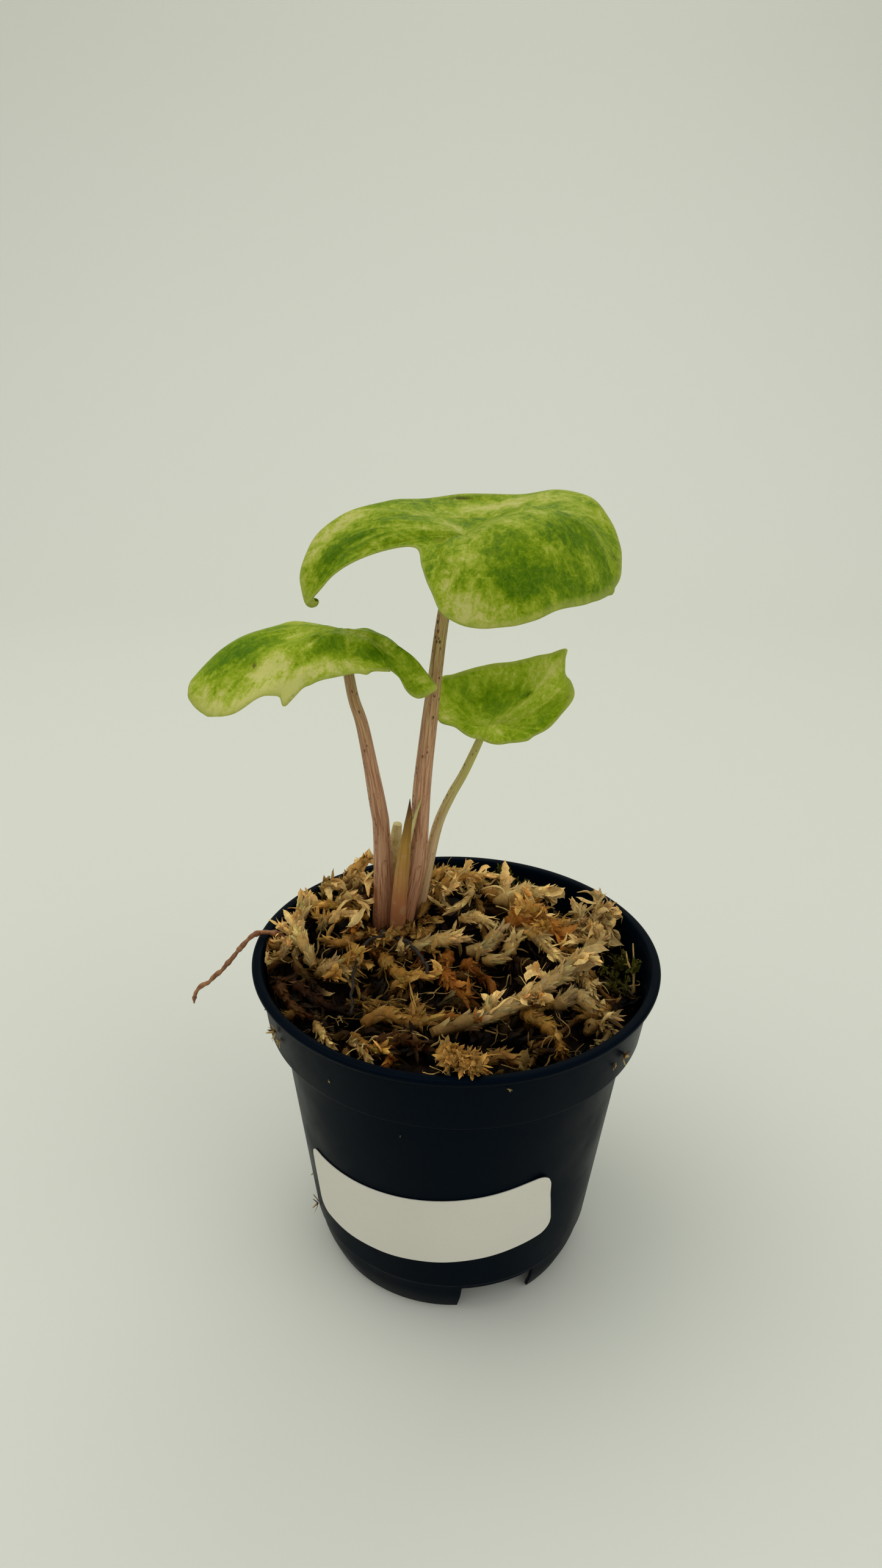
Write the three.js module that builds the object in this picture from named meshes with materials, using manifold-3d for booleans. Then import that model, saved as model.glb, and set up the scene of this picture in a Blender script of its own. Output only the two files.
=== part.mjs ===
// A small peltate aroid with three variegated leaves, grown in long-fibre moss in a plastic nursery pot.
// Millimetres, +Z up. The origin is the middle of the pot's underside, and -Y is the front.
import * as THREE from 'three';
import Module from 'manifold-3d';
import { mergeVertices } from 'three/addons/utils/BufferGeometryUtils.js';

const wasm = await Module();
wasm.setup();

// Pot
const POT_HEIGHT = 75.2;
const RIM_RADIUS = 45;
const LIP_WIDTH = 2.5;
const LIP_DEPTH = 1.2;
const BAND_TOP_RADIUS = 43.4;
const BAND_FOOT_RADIUS = 41.8;
const BAND_FOOT_Z = 61;
const BODY_TOP_RADIUS = 39;
const BODY_FOOT_RADIUS = 32.8;
const BODY_FOOT_Z = 9.4;
const BASE_BEND_RADIUS = 31.6;
const BASE_BEND_Z = 4.6;
const FOOT_RADIUS = 29.7;
const WALL = 1;
const PLATE_LOW = 8.2;
const PLATE_HIGH = 9.2;
const BOSS_RADIUS = 8;
const NOTCH_COUNT = 3;
const NOTCH_CENTRE = THREE.MathUtils.degToRad(-70.4);
const NOTCH_HALF_WIDTH = 8.5;
const NOTCH_HEIGHT = 8.1;
const DRAIN_COUNT = 6;
const DRAIN_RADIUS = 2.5;
const DRAIN_CIRCLE = 19;
const POT_SIDES = 60;

// Label wrapped round the front of the pot. Its middle line rises to the right by LABEL_SKEW mm a radian,
// and bows up to both ends, as a straight strip does on a cone.
const LABEL_MIDDLE = 27.2;
const LABEL_HEIGHT = 19.3;
const LABEL_START = THREE.MathUtils.degToRad(-150);
const LABEL_END = THREE.MathUtils.degToRad(-54);
const LABEL_SKEW = 2.9;
const LABEL_BOW = 2.1;
const LABEL_THICKNESS = 0.3;
const LABEL_CORNER = 3;

// Clearance between pieces that touch
const GAP = 0.3;

// Moss and the pocket that the crown sits in
const MOSS_LEVEL = 68.5;
const MOSS_RINGS = 11;
const MOSS_SIDES = 40;
const CROWN = new THREE.Vector2(-13, 9.5);
const CROWN_RADIUS = 5;
const CROWN_LOW = 52;
const CROWN_HIGH = 69;
const POCKET_RADIUS = 7.4;
const POCKET_LOW = CROWN_LOW - GAP;

// Leaves
const BLADE_THICKNESS = 0.6;
const BLADE_TURNS = 46;
const BLADE_RINGS = 6;
const PETIOLE_SEAT = 0.45;

const COLOURS = {
  pot: { color: 0x10181c, roughness: 0.42 },
  paper: { color: 0xcdcabe, roughness: 0.8 },
  moss: { color: 0xa9804a, roughness: 0.95 },
  paleMoss: { color: 0xcfb27c, roughness: 0.9 },
  greenMoss: { color: 0x6f6a2c, roughness: 0.95 },
  crown: { color: 0x7c4a34, roughness: 0.7 },
  stem: { color: 0xb59488, roughness: 0.45 },
  greenStem: { color: 0x9a9a55, roughness: 0.5 },
  leaf: { color: 0x8aa63c, roughness: 0.38 },
  sheath: { color: 0x9b6a34, roughness: 0.6 },
  root: { color: 0x8a4a2c, roughness: 0.65 },
  whiteRoot: { color: 0xd8cfb8, roughness: 0.7 },
};

// Building blocks

function solid(positions, triangles) {
  const geometry = new THREE.BufferGeometry();
  geometry.setAttribute('position', new THREE.Float32BufferAttribute(positions, 3));
  geometry.setIndex(triangles);
  return geometry;
}

function toManifold(geometry) {
  const bare = geometry.clone();
  bare.deleteAttribute('normal');
  bare.deleteAttribute('uv');
  const merged = mergeVertices(bare, 1e-4);
  const vertProperties = new Float32Array(merged.attributes.position.array);
  const triVerts = new Uint32Array(merged.index.array);
  return new wasm.Manifold(new wasm.Mesh({ numProp: 3, vertProperties, triVerts }));
}

function fromManifold(body) {
  const mesh = body.getMesh();
  return solid(Array.from(mesh.vertProperties), Array.from(mesh.triVerts));
}

function curve(points, closed = false) {
  return new THREE.CatmullRomCurve3(points.map((p) => new THREE.Vector3(...p)), closed, 'catmullrom', 0.5);
}

// A closed stem whose thickness changes along its centre line
function stem(points, radii, sides = 10, steps = 14) {
  const line = curve(points);
  const width = curve(radii.map((r) => [r, 0, 0]));
  const frames = line.computeFrenetFrames(steps, false);
  const positions = [];
  const triangles = [];
  for (let i = 0; i <= steps; i += 1) {
    const centre = line.getPointAt(i / steps);
    const radius = width.getPoint(i / steps).x;
    for (let j = 0; j < sides; j += 1) {
      const angle = (2 * Math.PI * j) / sides;
      const point = centre.clone();
      point.addScaledVector(frames.normals[i], radius * Math.cos(angle));
      point.addScaledVector(frames.binormals[i], radius * Math.sin(angle));
      positions.push(point.x, point.y, point.z);
    }
  }
  for (let i = 0; i < steps; i += 1) {
    for (let j = 0; j < sides; j += 1) {
      const a = i * sides + j;
      const b = i * sides + ((j + 1) % sides);
      triangles.push(a, b, b + sides, a, b + sides, a + sides);
    }
  }
  const last = steps * sides;
  for (let j = 1; j < sides - 1; j += 1) {
    triangles.push(0, j + 1, j);
    triangles.push(last, last + j, last + j + 1);
  }
  return solid(positions, triangles);
}

// An even round cord, such as a thin root
function cord(points, radius, sides = 8, steps = 16) {
  const section = new THREE.Shape();
  for (let j = 0; j < sides; j += 1) {
    const angle = (2 * Math.PI * j) / sides;
    const x = radius * Math.cos(angle);
    const y = radius * Math.sin(angle);
    if (j === 0) {
      section.moveTo(x, y);
    } else {
      section.lineTo(x, y);
    }
  }
  section.closePath();
  return new THREE.ExtrudeGeometry(section, { steps, bevelEnabled: false, extrudePath: curve(points) });
}

// A blade is a fan of spokes from the top of its petiole to its margin.
// Each spoke is [edge x, edge y, edge z, belly, shoulder]: belly lifts its middle
// and shoulder lifts its inner third, both square to the straight line of the spoke.
function bladeSurface(heart, spokes) {
  const centre = new THREE.Vector3(...heart);
  const edge = curve(spokes.map((s) => [s[0], s[1], s[2]]), true);
  const lift = curve(spokes.map((s) => [s[3], s[4], 0]), true);
  return (turn, reach) => {
    const chord = edge.getPoint(turn).sub(centre);
    const level = Math.hypot(chord.x, chord.y);
    const up = new THREE.Vector3((-chord.x * chord.z) / level, (-chord.y * chord.z) / level, level);
    up.normalize();
    const bend = lift.getPoint(turn);
    const rise = 4 * bend.x * reach * (1 - reach) + 6.75 * bend.y * reach * (1 - reach) ** 2;
    return centre.clone().addScaledVector(chord, reach).addScaledVector(up, rise);
  };
}

function blade(heart, spokes) {
  const surface = bladeSurface(heart, spokes);
  const step = 1e-3;
  const positions = [];
  const triangles = [];
  const ringStart = (side, ring) => 2 + ((ring - 1) * 2 + side) * BLADE_TURNS;
  const place = (point, normal, side) => {
    const half = side === 0 ? BLADE_THICKNESS / 2 : -BLADE_THICKNESS / 2;
    positions.push(point.x + half * normal.x, point.y + half * normal.y, point.z + half * normal.z);
  };
  const up = new THREE.Vector3();
  for (let k = 0; k < BLADE_TURNS; k += 1) {
    const near = surface(k / BLADE_TURNS, 0.08).sub(surface(0, 0));
    const next = surface((k + 1) / BLADE_TURNS, 0.08).sub(surface(0, 0));
    up.add(near.cross(next));
  }
  up.normalize();
  place(surface(0, 0), up, 0);
  place(surface(0, 0), up, 1);
  for (let ring = 1; ring <= BLADE_RINGS; ring += 1) {
    const reach = ring / BLADE_RINGS;
    for (const side of [0, 1]) {
      for (let k = 0; k < BLADE_TURNS; k += 1) {
        const turn = k / BLADE_TURNS;
        const point = surface(turn, reach);
        const outward = surface(turn, reach).sub(surface(turn, reach - 10 * step));
        const around = surface((turn + step) % 1, reach).sub(surface((turn + 1 - step) % 1, reach));
        place(point, outward.cross(around).normalize(), side);
      }
    }
  }
  for (const side of [0, 1]) {
    const face = (a, b, c) => (side === 0 ? triangles.push(a, b, c) : triangles.push(a, c, b));
    for (let k = 0; k < BLADE_TURNS; k += 1) {
      const next = (k + 1) % BLADE_TURNS;
      face(side, ringStart(side, 1) + k, ringStart(side, 1) + next);
      for (let ring = 1; ring < BLADE_RINGS; ring += 1) {
        const a = ringStart(side, ring);
        const b = ringStart(side, ring + 1);
        face(a + k, b + k, b + next);
        face(a + k, b + next, a + next);
      }
    }
  }
  const top = ringStart(0, BLADE_RINGS);
  const under = ringStart(1, BLADE_RINGS);
  for (let k = 0; k < BLADE_TURNS; k += 1) {
    const next = (k + 1) % BLADE_TURNS;
    triangles.push(top + k, under + k, under + next, top + k, under + next, top + next);
  }
  return solid(positions, triangles);
}

// Pot

function potInnerRadius(z) {
  const slope = (BODY_TOP_RADIUS - BODY_FOOT_RADIUS) / (BAND_FOOT_Z - BODY_FOOT_Z);
  return BODY_FOOT_RADIUS + slope * (z - BODY_FOOT_Z) - WALL;
}

function potOuterRadius(z) {
  return potInnerRadius(z) + WALL;
}

function makePot() {
  const inner = RIM_RADIUS - LIP_WIDTH;
  const profile = [
    [0, 0],
    [BOSS_RADIUS, 0],
    [BOSS_RADIUS + 1.5, PLATE_LOW],
    [BODY_FOOT_RADIUS - 1.6 * WALL, PLATE_LOW],
    [BASE_BEND_RADIUS - WALL, BASE_BEND_Z],
    [FOOT_RADIUS - WALL, 0],
    [FOOT_RADIUS, 0],
    [BASE_BEND_RADIUS, BASE_BEND_Z],
    [BODY_FOOT_RADIUS - 0.3, BODY_FOOT_Z - 0.6],
    [BODY_FOOT_RADIUS, BODY_FOOT_Z],
    [BODY_TOP_RADIUS, BAND_FOOT_Z - 0.3],
    [BAND_FOOT_RADIUS, BAND_FOOT_Z],
    [BAND_TOP_RADIUS, POT_HEIGHT - LIP_DEPTH - 0.6],
    [RIM_RADIUS, POT_HEIGHT - LIP_DEPTH],
    [RIM_RADIUS, POT_HEIGHT - 0.4],
    [RIM_RADIUS - 0.4, POT_HEIGHT],
    [inner + 0.3, POT_HEIGHT],
    [inner, POT_HEIGHT - 0.5],
    [BAND_FOOT_RADIUS - WALL, BAND_FOOT_Z + 1.4],
    [BODY_TOP_RADIUS - WALL, BAND_FOOT_Z + 0.8],
    [potInnerRadius(PLATE_HIGH + 1), PLATE_HIGH + 1],
    [potInnerRadius(PLATE_HIGH) - 1, PLATE_HIGH],
    [BOSS_RADIUS, PLATE_HIGH],
    [BOSS_RADIUS - 1.2, WALL],
    [0, WALL],
  ];
  const points = profile.map((p) => new THREE.Vector2(...p));
  const turned = new THREE.LatheGeometry(points, POT_SIDES);
  turned.rotateX(Math.PI / 2);
  let pot = toManifold(turned);
  for (let i = 0; i < NOTCH_COUNT; i += 1) {
    const angle = NOTCH_CENTRE + (i * 2 * Math.PI) / NOTCH_COUNT;
    const notch = new THREE.BoxGeometry(8, 2 * NOTCH_HALF_WIDTH, 2 * NOTCH_HEIGHT);
    notch.translate(FOOT_RADIUS, 0, 0);
    notch.rotateZ(angle);
    pot = pot.subtract(toManifold(notch));
  }
  for (let i = 0; i < DRAIN_COUNT; i += 1) {
    const angle = NOTCH_CENTRE + ((i + 0.5) * 2 * Math.PI) / DRAIN_COUNT;
    const drain = new THREE.CylinderGeometry(DRAIN_RADIUS, DRAIN_RADIUS, 4 * PLATE_HIGH, 16);
    drain.rotateX(Math.PI / 2);
    drain.translate(DRAIN_CIRCLE * Math.cos(angle), DRAIN_CIRCLE * Math.sin(angle), PLATE_HIGH);
    pot = pot.subtract(toManifold(drain));
  }
  return fromManifold(pot);
}

// A strip of paper with round corners, bent to the cone of the pot
function makeLabel() {
  const around = 48;
  const half = LABEL_HEIGHT / 2;
  const positions = [];
  const triangles = [];
  const bend = potOuterRadius(LABEL_MIDDLE);
  const arc = (LABEL_END - LABEL_START) * bend;
  for (let i = 0; i <= around; i += 1) {
    const along = (i / around) * arc;
    const fromEnd = Math.min(along, arc - along);
    const inset = fromEnd < LABEL_CORNER
      ? LABEL_CORNER - Math.sqrt(Math.max(0, LABEL_CORNER ** 2 - (LABEL_CORNER - fromEnd) ** 2))
      : 0;
    const turn = (LABEL_END - LABEL_START) * (i / around - 0.5);
    const slope = (LABEL_SKEW + 2 * LABEL_BOW * turn) / bend;
    for (const side of [-1, 1]) {
      const across = side * (half - inset);
      const z = LABEL_MIDDLE + LABEL_SKEW * turn + LABEL_BOW * turn ** 2 + across;
      const angle = (LABEL_START + LABEL_END) / 2 + turn - (slope * across) / bend;
      for (const depth of [GAP, GAP + LABEL_THICKNESS]) {
        const radius = (potOuterRadius(z) + depth) / Math.cos(Math.PI / POT_SIDES);
        positions.push(radius * Math.cos(angle), radius * Math.sin(angle), z);
      }
    }
  }
  for (let i = 0; i < around; i += 1) {
    const a = 4 * i;
    const b = a + 4;
    const corners = [0, 1, 3, 2];
    for (let j = 0; j < 4; j += 1) {
      const p = corners[j];
      const q = corners[(j + 1) % 4];
      triangles.push(a + p, b + q, a + q, a + p, b + p, b + q);
    }
  }
  const end = 4 * around;
  triangles.push(0, 1, 3, 0, 3, 2);
  triangles.push(end, end + 3, end + 1, end, end + 2, end + 3);
  return solid(positions, triangles);
}

// Moss

// Heaps and hollows of the moss surface: [x, y, height, width]
const MOSS_HEAPS = [
  [-4, 22, 10, 12],
  [-25, 17, 8, 9],
  [20, 14, 5, 12],
  [-38, 1, 4, 9],
  [0, -35, 4.5, 11],
  [-20, -27, 2.5, 10],
  [26, -16, 2, 9],
  [42, 4, -4, 7],
  [26, 34, -5, 9],
  [-30, 34, -4, 9],
  [-25, -13, -3.5, 5],
  [7, -11, -3, 5],
  [-13, 4, 1.5, 6],
];

function mossHeight(x, y) {
  let z = MOSS_LEVEL;
  for (const [hx, hy, height, width] of MOSS_HEAPS) {
    z += height * Math.exp(-((x - hx) ** 2 + (y - hy) ** 2) / (2 * width ** 2));
  }
  return z;
}

function makeMossPlug(channels) {
  const low = PLATE_HIGH + GAP;
  const stepsDown = [BAND_FOOT_Z + 1.4, 34, PLATE_HIGH + 1.6];
  const positions = [0, 0, mossHeight(0, 0)];
  const triangles = [];
  const ringAt = (k) => 1 + k * MOSS_SIDES;
  const wallRadius = (z) => (z > BAND_FOOT_Z + 1.4
    ? BAND_FOOT_RADIUS - WALL - GAP - 0.2
    : potInnerRadius(Math.min(z, BAND_FOOT_Z)) - GAP - 0.2);
  for (let k = 1; k <= MOSS_RINGS; k += 1) {
    for (let j = 0; j < MOSS_SIDES; j += 1) {
      const angle = (2 * Math.PI * j) / MOSS_SIDES;
      const radius = (wallRadius(POT_HEIGHT) * k) / MOSS_RINGS;
      const x = radius * Math.cos(angle);
      const y = radius * Math.sin(angle);
      positions.push(x, y, Math.min(mossHeight(x, y), k === MOSS_RINGS ? POT_HEIGHT - 3 : 100));
    }
  }
  for (const z of stepsDown) {
    for (let j = 0; j < MOSS_SIDES; j += 1) {
      const angle = (2 * Math.PI * j) / MOSS_SIDES;
      positions.push(wallRadius(z) * Math.cos(angle), wallRadius(z) * Math.sin(angle), z);
    }
  }
  for (let j = 0; j < MOSS_SIDES; j += 1) {
    const angle = (2 * Math.PI * j) / MOSS_SIDES;
    const radius = wallRadius(low) - 1.4;
    positions.push(radius * Math.cos(angle), radius * Math.sin(angle), low);
  }
  const rings = MOSS_RINGS + stepsDown.length + 1;
  const bottom = positions.length / 3;
  positions.push(0, 0, low);
  for (let j = 0; j < MOSS_SIDES; j += 1) {
    const next = (j + 1) % MOSS_SIDES;
    triangles.push(0, ringAt(0) + j, ringAt(0) + next);
    for (let k = 0; k < rings - 1; k += 1) {
      const a = ringAt(k);
      const b = ringAt(k + 1);
      triangles.push(a + j, b + j, b + next, a + j, b + next, a + next);
    }
    triangles.push(bottom, ringAt(rings - 1) + next, ringAt(rings - 1) + j);
  }
  const depth = POT_HEIGHT + 30 - POCKET_LOW;
  const pocket = new THREE.CylinderGeometry(POCKET_RADIUS, POCKET_RADIUS, depth, 20);
  pocket.rotateX(Math.PI / 2);
  pocket.translate(CROWN.x, CROWN.y, POCKET_LOW + depth / 2);
  let plug = toManifold(solid(positions, triangles)).subtract(toManifold(pocket));
  for (const channel of channels) {
    plug = plug.subtract(toManifold(channel));
  }
  // The cuts leave a crumb where a channel grazes the pocket, so only the plug itself is kept
  const [body] = plug.decompose().sort((a, b) => b.volume() - a.volume());
  return fromManifold(body);
}

// A loose sprig lies on the moss: [x, y, height above the moss, radius] along it
function makeSprig(stations, sides = 7, steps = 10) {
  const points = stations.map(([x, y, lift, radius]) => [x, y, mossHeight(x, y) + lift + radius + GAP]);
  return stem(points, stations.map((s) => s[3]), sides, steps);
}

// Crown and roots

function makeCrown() {
  const profile = [
    [0, CROWN_LOW],
    [CROWN_RADIUS - 2, CROWN_LOW],
    [CROWN_RADIUS, CROWN_LOW + 3],
    [CROWN_RADIUS - 0.4, CROWN_LOW + 7],
    [CROWN_RADIUS, CROWN_LOW + 11],
    [CROWN_RADIUS + 0.6, CROWN_HIGH - 2],
    [CROWN_RADIUS, CROWN_HIGH],
    [0, CROWN_HIGH],
  ];
  const crown = new THREE.LatheGeometry(profile.map((p) => new THREE.Vector2(...p)), 18);
  crown.rotateX(Math.PI / 2);
  crown.translate(CROWN.x, CROWN.y, 0);
  return crown;
}

// Each hidden root leaves the crown's side: [bearing in degrees, reach, lowest z]
const ROOT_RADIUS = 1.1;
const ROOT_PATHS = [
  [20, 34, 14],
  [95, 16, 22],
  [170, 16, 34],
  [235, 22, 14],
  [300, 34, 24],
];

function rootPoints([bearing, reach, low]) {
  const angle = THREE.MathUtils.degToRad(bearing);
  const start = CROWN_RADIUS + 2 * GAP;
  const top = CROWN_LOW + 6;
  const at = (distance, z) => [
    CROWN.x + distance * Math.cos(angle),
    CROWN.y + distance * Math.sin(angle),
    z,
  ];
  return [
    at(start, top),
    at(start + 2.5, top - 0.3),
    at(start + (reach - start) * 0.7, top - (top - low) * 0.4),
    at(reach, low),
  ];
}

// The hollow that a root fills, open to the crown's pocket
function rootChannel(points) {
  const [first, second, third, last] = points.map((p) => new THREE.Vector3(...p));
  const inward = first.clone().multiplyScalar(2).sub(second);
  const beyond = last.clone().sub(third).setLength(3 * GAP).add(last);
  return cord([inward.toArray(), ...points, beyond.toArray()], ROOT_RADIUS + 2 * GAP, 8, 22);
}

// Plant above the moss

const PETIOLES = {
  petiole_centre: {
    points: [[-13, 8.6, 69.6], [-11.5, 9, 80], [-9, 8, 93], [-8, 6, 112.5], [-6, 4.6, 133], [-4, 3, 151],
      [-2, 2, 160], [-0.7, 2, 165.5]],
    radii: [2.2, 2.1, 2, 1.9, 1.7, 1.4, 1.2, 1],
    look: COLOURS.stem,
  },
  petiole_left: {
    points: [[-17, 10, 69.6], [-16.6, 9.5, 84], [-17, 9, 100], [-17.6, 8.5, 106], [-20.5, 7, 124.5],
      [-22.6, 6, 133], [-24.3, 5, 145.7]],
    radii: [2.1, 2, 1.75, 1.65, 1.35, 1.15, 0.9],
    look: COLOURS.stem,
  },
  petiole_right: {
    points: [[-9.3, 13.2, 69.6], [-8.2, 13.1, 79.5], [-6.4, 12.9, 90.4], [-4.6, 12.2, 99.9],
      [-1.9, 11.3, 107.4], [1.2, 10.4, 114.1], [4.9, 9.1, 123.7]],
    radii: [1.4, 1.3, 1.2, 1.15, 1.05, 0.95, 0.8],
    look: COLOURS.greenStem,
  },
};

// The hearts stand a little above the tops of the petioles
const BLADES = {
  leaf_centre: {
    heart: [-0.5, 2, 166],
    spokes: [
      [27, -3, 157, 8.5, 1],
      [30, 2, 159, 8, 1],
      [31, 8, 163, 5.5, 0.5],
      [29, 13, 167.5, 3, 0],
      [25, 17, 171.5, 0.8, 0],
      [18.5, 20, 172.5, 0, 0],
      [11, 21, 171.5, -0.5, 0],
      [1, 20, 171.5, -1, 0],
      [-8, 17, 170.5, 0, 0],
      [-15.5, 13, 170.5, 1, 0],
      [-23.5, 9, 168.5, 2, 0],
      [-29.5, 5, 164, 3.5, 0],
      [-31.5, 1, 158, 5.5, 0],
      [-30.5, -1, 154, 7, 0],
      [-28.5, -3, 156, 5.5, 0],
      [-25, -4, 160, 3, 0],
      [-20, -4, 163, 1.2, 0],
      [-14, -3, 165, 0.3, 0],
      [-9, -3, 165, 0, 0],
      [-8, -7, 162.5, 1.2, 0],
      [-6.5, -11, 159.5, 2.5, 0.5],
      [-4, -14, 155.5, 4, 0.5],
      [0, -16, 154, 5, 0.5],
      [5.5, -17, 154, 6, 0.5],
      [11.5, -17, 155.5, 6.5, 1],
      [17.5, -14, 157, 7.5, 1],
      [23.5, -8, 156.5, 8.5, 1],
    ],
  },
  leaf_left: {
    heart: [-24.5, 5, 146.5],
    spokes: [
      [-5, -3.5, 138.5, 2.7, 0],
      [-7, -0.5, 139.5, 2.3, 0],
      [-11.5, 9, 140, 1.8, 0],
      [-19, 15, 139.5, 1, 0],
      [-27.5, 17, 139.5, 1, 0],
      [-37.5, 17, 139, 1.5, 0],
      [-46, 14, 139, 3, 0],
      [-52, 9, 137.5, 4, 0],
      [-54.5, 1, 136.5, 4.6, 0],
      [-53, -4, 134.5, 5, 0],
      [-49, -7, 133, 5, 0],
      [-43.5, -9, 134, 4.5, 0],
      [-37.5, -9, 137.5, 3.5, 0],
      [-34, -9, 136, 4, 0],
      [-29.5, -8, 139.5, 3, 0.5],
      [-25, -7, 141, 3, 0.5],
      [-19, -6, 142, 2.5, 0],
      [-14, -4, 142, 1, 0],
      [-11, -4.5, 139, 1.8, 0],
      [-8, -4.5, 137, 2.5, 0],
    ],
  },
  leaf_right: {
    heart: [5, 9, 124],
    spokes: [
      [20.5, 12, 140, -2, 0],
      [16.5, 15, 138.5, -2.5, 0],
      [11, 17, 136.5, -2.5, 0],
      [4, 18, 135, -2.5, 0],
      [-1.5, 17, 133.5, -2, 0],
      [-4.5, 14, 133, -1.5, 0],
      [-5, 11, 129.5, -1, 0],
      [-4.5, 8, 127, 0, 0],
      [-1, 6, 126.5, 0.3, 0],
      [2.5, 4, 125, 0.8, 0.5],
      [6.5, 3, 124, 1.2, 0.6],
      [10, 3, 124, 1.5, 0.6],
      [13, 3, 124.5, 1.5, 0.5],
      [16, 4, 125.5, 0.5, 0],
      [19.5, 6, 128, -0.5, 0],
      [22, 8, 131, -1.2, 0],
      [22.5, 10, 133.5, -1.5, 0],
      [21.5, 11, 136, -2, 0],
    ],
  },
};

// Pieces that stand round the foot of the petioles
const SHEATHS = {
  bud_sheath: {
    points: [[-14.2, 5.2, 69.6], [-13.8, 5.1, 82], [-13, 4.7, 95], [-11.6, 3.8, 104], [-10.8, 3.2, 109.3]],
    radii: [1.5, 1.55, 1.25, 0.8, 0.25],
    look: COLOURS.sheath,
  },
  old_stub: {
    points: [[-14.6, 13.8, 69.6], [-14.8, 13.8, 82], [-14.3, 13.7, 93], [-13.6, 13.5, 99.5]],
    radii: [1.8, 1.7, 1.6, 0.9],
    look: COLOURS.paleMoss,
  },
};

// Loose sprigs on the moss: [x, y, height above it, radius] along each
const SPRIGS = {
  moss_front_tuft: [[-6, -33, 0.3, 2], [-1, -35.5, 0.8, 3], [4, -36.5, 0.8, 2.6], [8, -37.5, 0.6, 1.6]],
  moss_long_sprig: [[-4.7, -28.8, 0.2, 0.6], [6.5, -22.2, 0.4, 1.1], [17.3, -12.3, 0.5, 1.2],
    [26.1, -2.7, 0.6, 1.2], [33, 6, 0.8, 0.8]],
  moss_right_sprig: [[28, 13, 0.3, 1], [33, 14.5, 0.8, 1.6], [37.5, 14, 1.6, 1.2]],
  moss_cream_frond: [[10, 17, 0.2, 1.2], [16, 22, 0.6, 2.4], [21, 27, 1.6, 2.2], [23, 31, 2.4, 1]],
  moss_orange_lump: [[12, 9, 0.2, 1.5], [17, 10, 0.4, 2.6], [22, 8, 0.2, 1.6]],
  moss_loop_tuft: [[-3, 17, 0.2, 1.4], [-1, 22, 0.8, 2.6], [3, 26, 0.6, 2.2], [6, 29, 0.2, 1.2]],
  moss_left_frond: [[-37, 8, 0.2, 1], [-35.5, 12, 1.4, 1.5], [-34.5, 15, 3, 0.8]],
  moss_left_tuft: [[-31, -6, 0.2, 1], [-26.5, -4, 0.6, 1.9], [-22.5, -3, 0.3, 1]],
  moss_root_cluster: [[-39, -3, 0.2, 1], [-37.5, 1, 0.4, 1.6], [-36, 4, 0.2, 1]],
  moss_back_left: [[-33, 24, 0.2, 1.4], [-27, 29, 0.5, 2.4], [-19, 33, 0.2, 1.6]],
  moss_back_right: [[8, 35.5, 0.2, 1.4], [14, 35, 0.4, 2], [20, 34, 0.2, 1.4]],
  moss_right_green: [[35.5, -8, 0.2, 1.3], [36.5, -3, 0.4, 1.9], [36.5, 3, 0.2, 1.3]],
};

const GREEN_SPRIGS = ['moss_back_left', 'moss_back_right', 'moss_right_green'];

// Assembly

const plant = new THREE.Group();

function add(name, geometry, look) {
  const mesh = new THREE.Mesh(geometry, new THREE.MeshStandardMaterial({ ...look, metalness: 0 }));
  mesh.name = name;
  plant.add(mesh);
}

add('pot', makePot(), COLOURS.pot);
add('label', makeLabel(), COLOURS.paper);

const channels = [];
ROOT_PATHS.forEach((path, index) => {
  const points = rootPoints(path);
  add(`root_${index + 1}`, cord(points, ROOT_RADIUS), COLOURS.whiteRoot);
  channels.push(rootChannel(points));
});
add('moss_plug', makeMossPlug(channels), COLOURS.moss);
add('crown', makeCrown(), COLOURS.crown);

for (const [name, { points, radii, look }] of Object.entries({ ...PETIOLES, ...SHEATHS })) {
  add(name, stem(points, radii), look);
}
for (const [name, { heart, spokes }] of Object.entries(BLADES)) {
  add(name, blade([heart[0], heart[1], heart[2] + PETIOLE_SEAT], spokes), COLOURS.leaf);
}
for (const [name, stations] of Object.entries(SPRIGS)) {
  add(name, makeSprig(stations), GREEN_SPRIGS.includes(name) ? COLOURS.greenMoss : COLOURS.paleMoss);
}

add('root_over_rim', cord([
  [-38, 4.4, 74.2], [-41, 4.3, 75.8], [-43.5, 4, 76.5], [-46, 2.8, 76], [-48.5, 1.2, 73.4], [-51, 0, 70.6],
  [-54, -0.4, 67.4], [-58, -0.6, 63.9], [-59.5, -0.8, 61.5], [-59.4, -1, 60],
], 0.65, 8, 26), COLOURS.root);

export default plant;
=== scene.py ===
"""Looks for a small variegated aroid in a nursery pot. Sizes are in millimetres until make_mesh."""

import math

import bpy
import numpy as np
from mathutils import Matrix, Vector


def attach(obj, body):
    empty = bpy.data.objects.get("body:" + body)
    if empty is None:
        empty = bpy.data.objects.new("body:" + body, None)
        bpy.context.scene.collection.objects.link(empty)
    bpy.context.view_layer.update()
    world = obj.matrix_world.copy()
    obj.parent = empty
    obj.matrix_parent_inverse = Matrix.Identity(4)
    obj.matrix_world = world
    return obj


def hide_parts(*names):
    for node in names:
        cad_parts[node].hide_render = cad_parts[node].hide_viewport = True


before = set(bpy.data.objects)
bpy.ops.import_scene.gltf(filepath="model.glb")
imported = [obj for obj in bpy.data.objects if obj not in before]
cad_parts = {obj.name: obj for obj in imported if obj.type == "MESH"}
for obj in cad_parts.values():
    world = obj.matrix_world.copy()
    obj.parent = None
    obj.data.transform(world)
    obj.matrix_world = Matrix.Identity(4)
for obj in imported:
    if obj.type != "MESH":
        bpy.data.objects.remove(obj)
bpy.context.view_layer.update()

MM = 0.001

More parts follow.
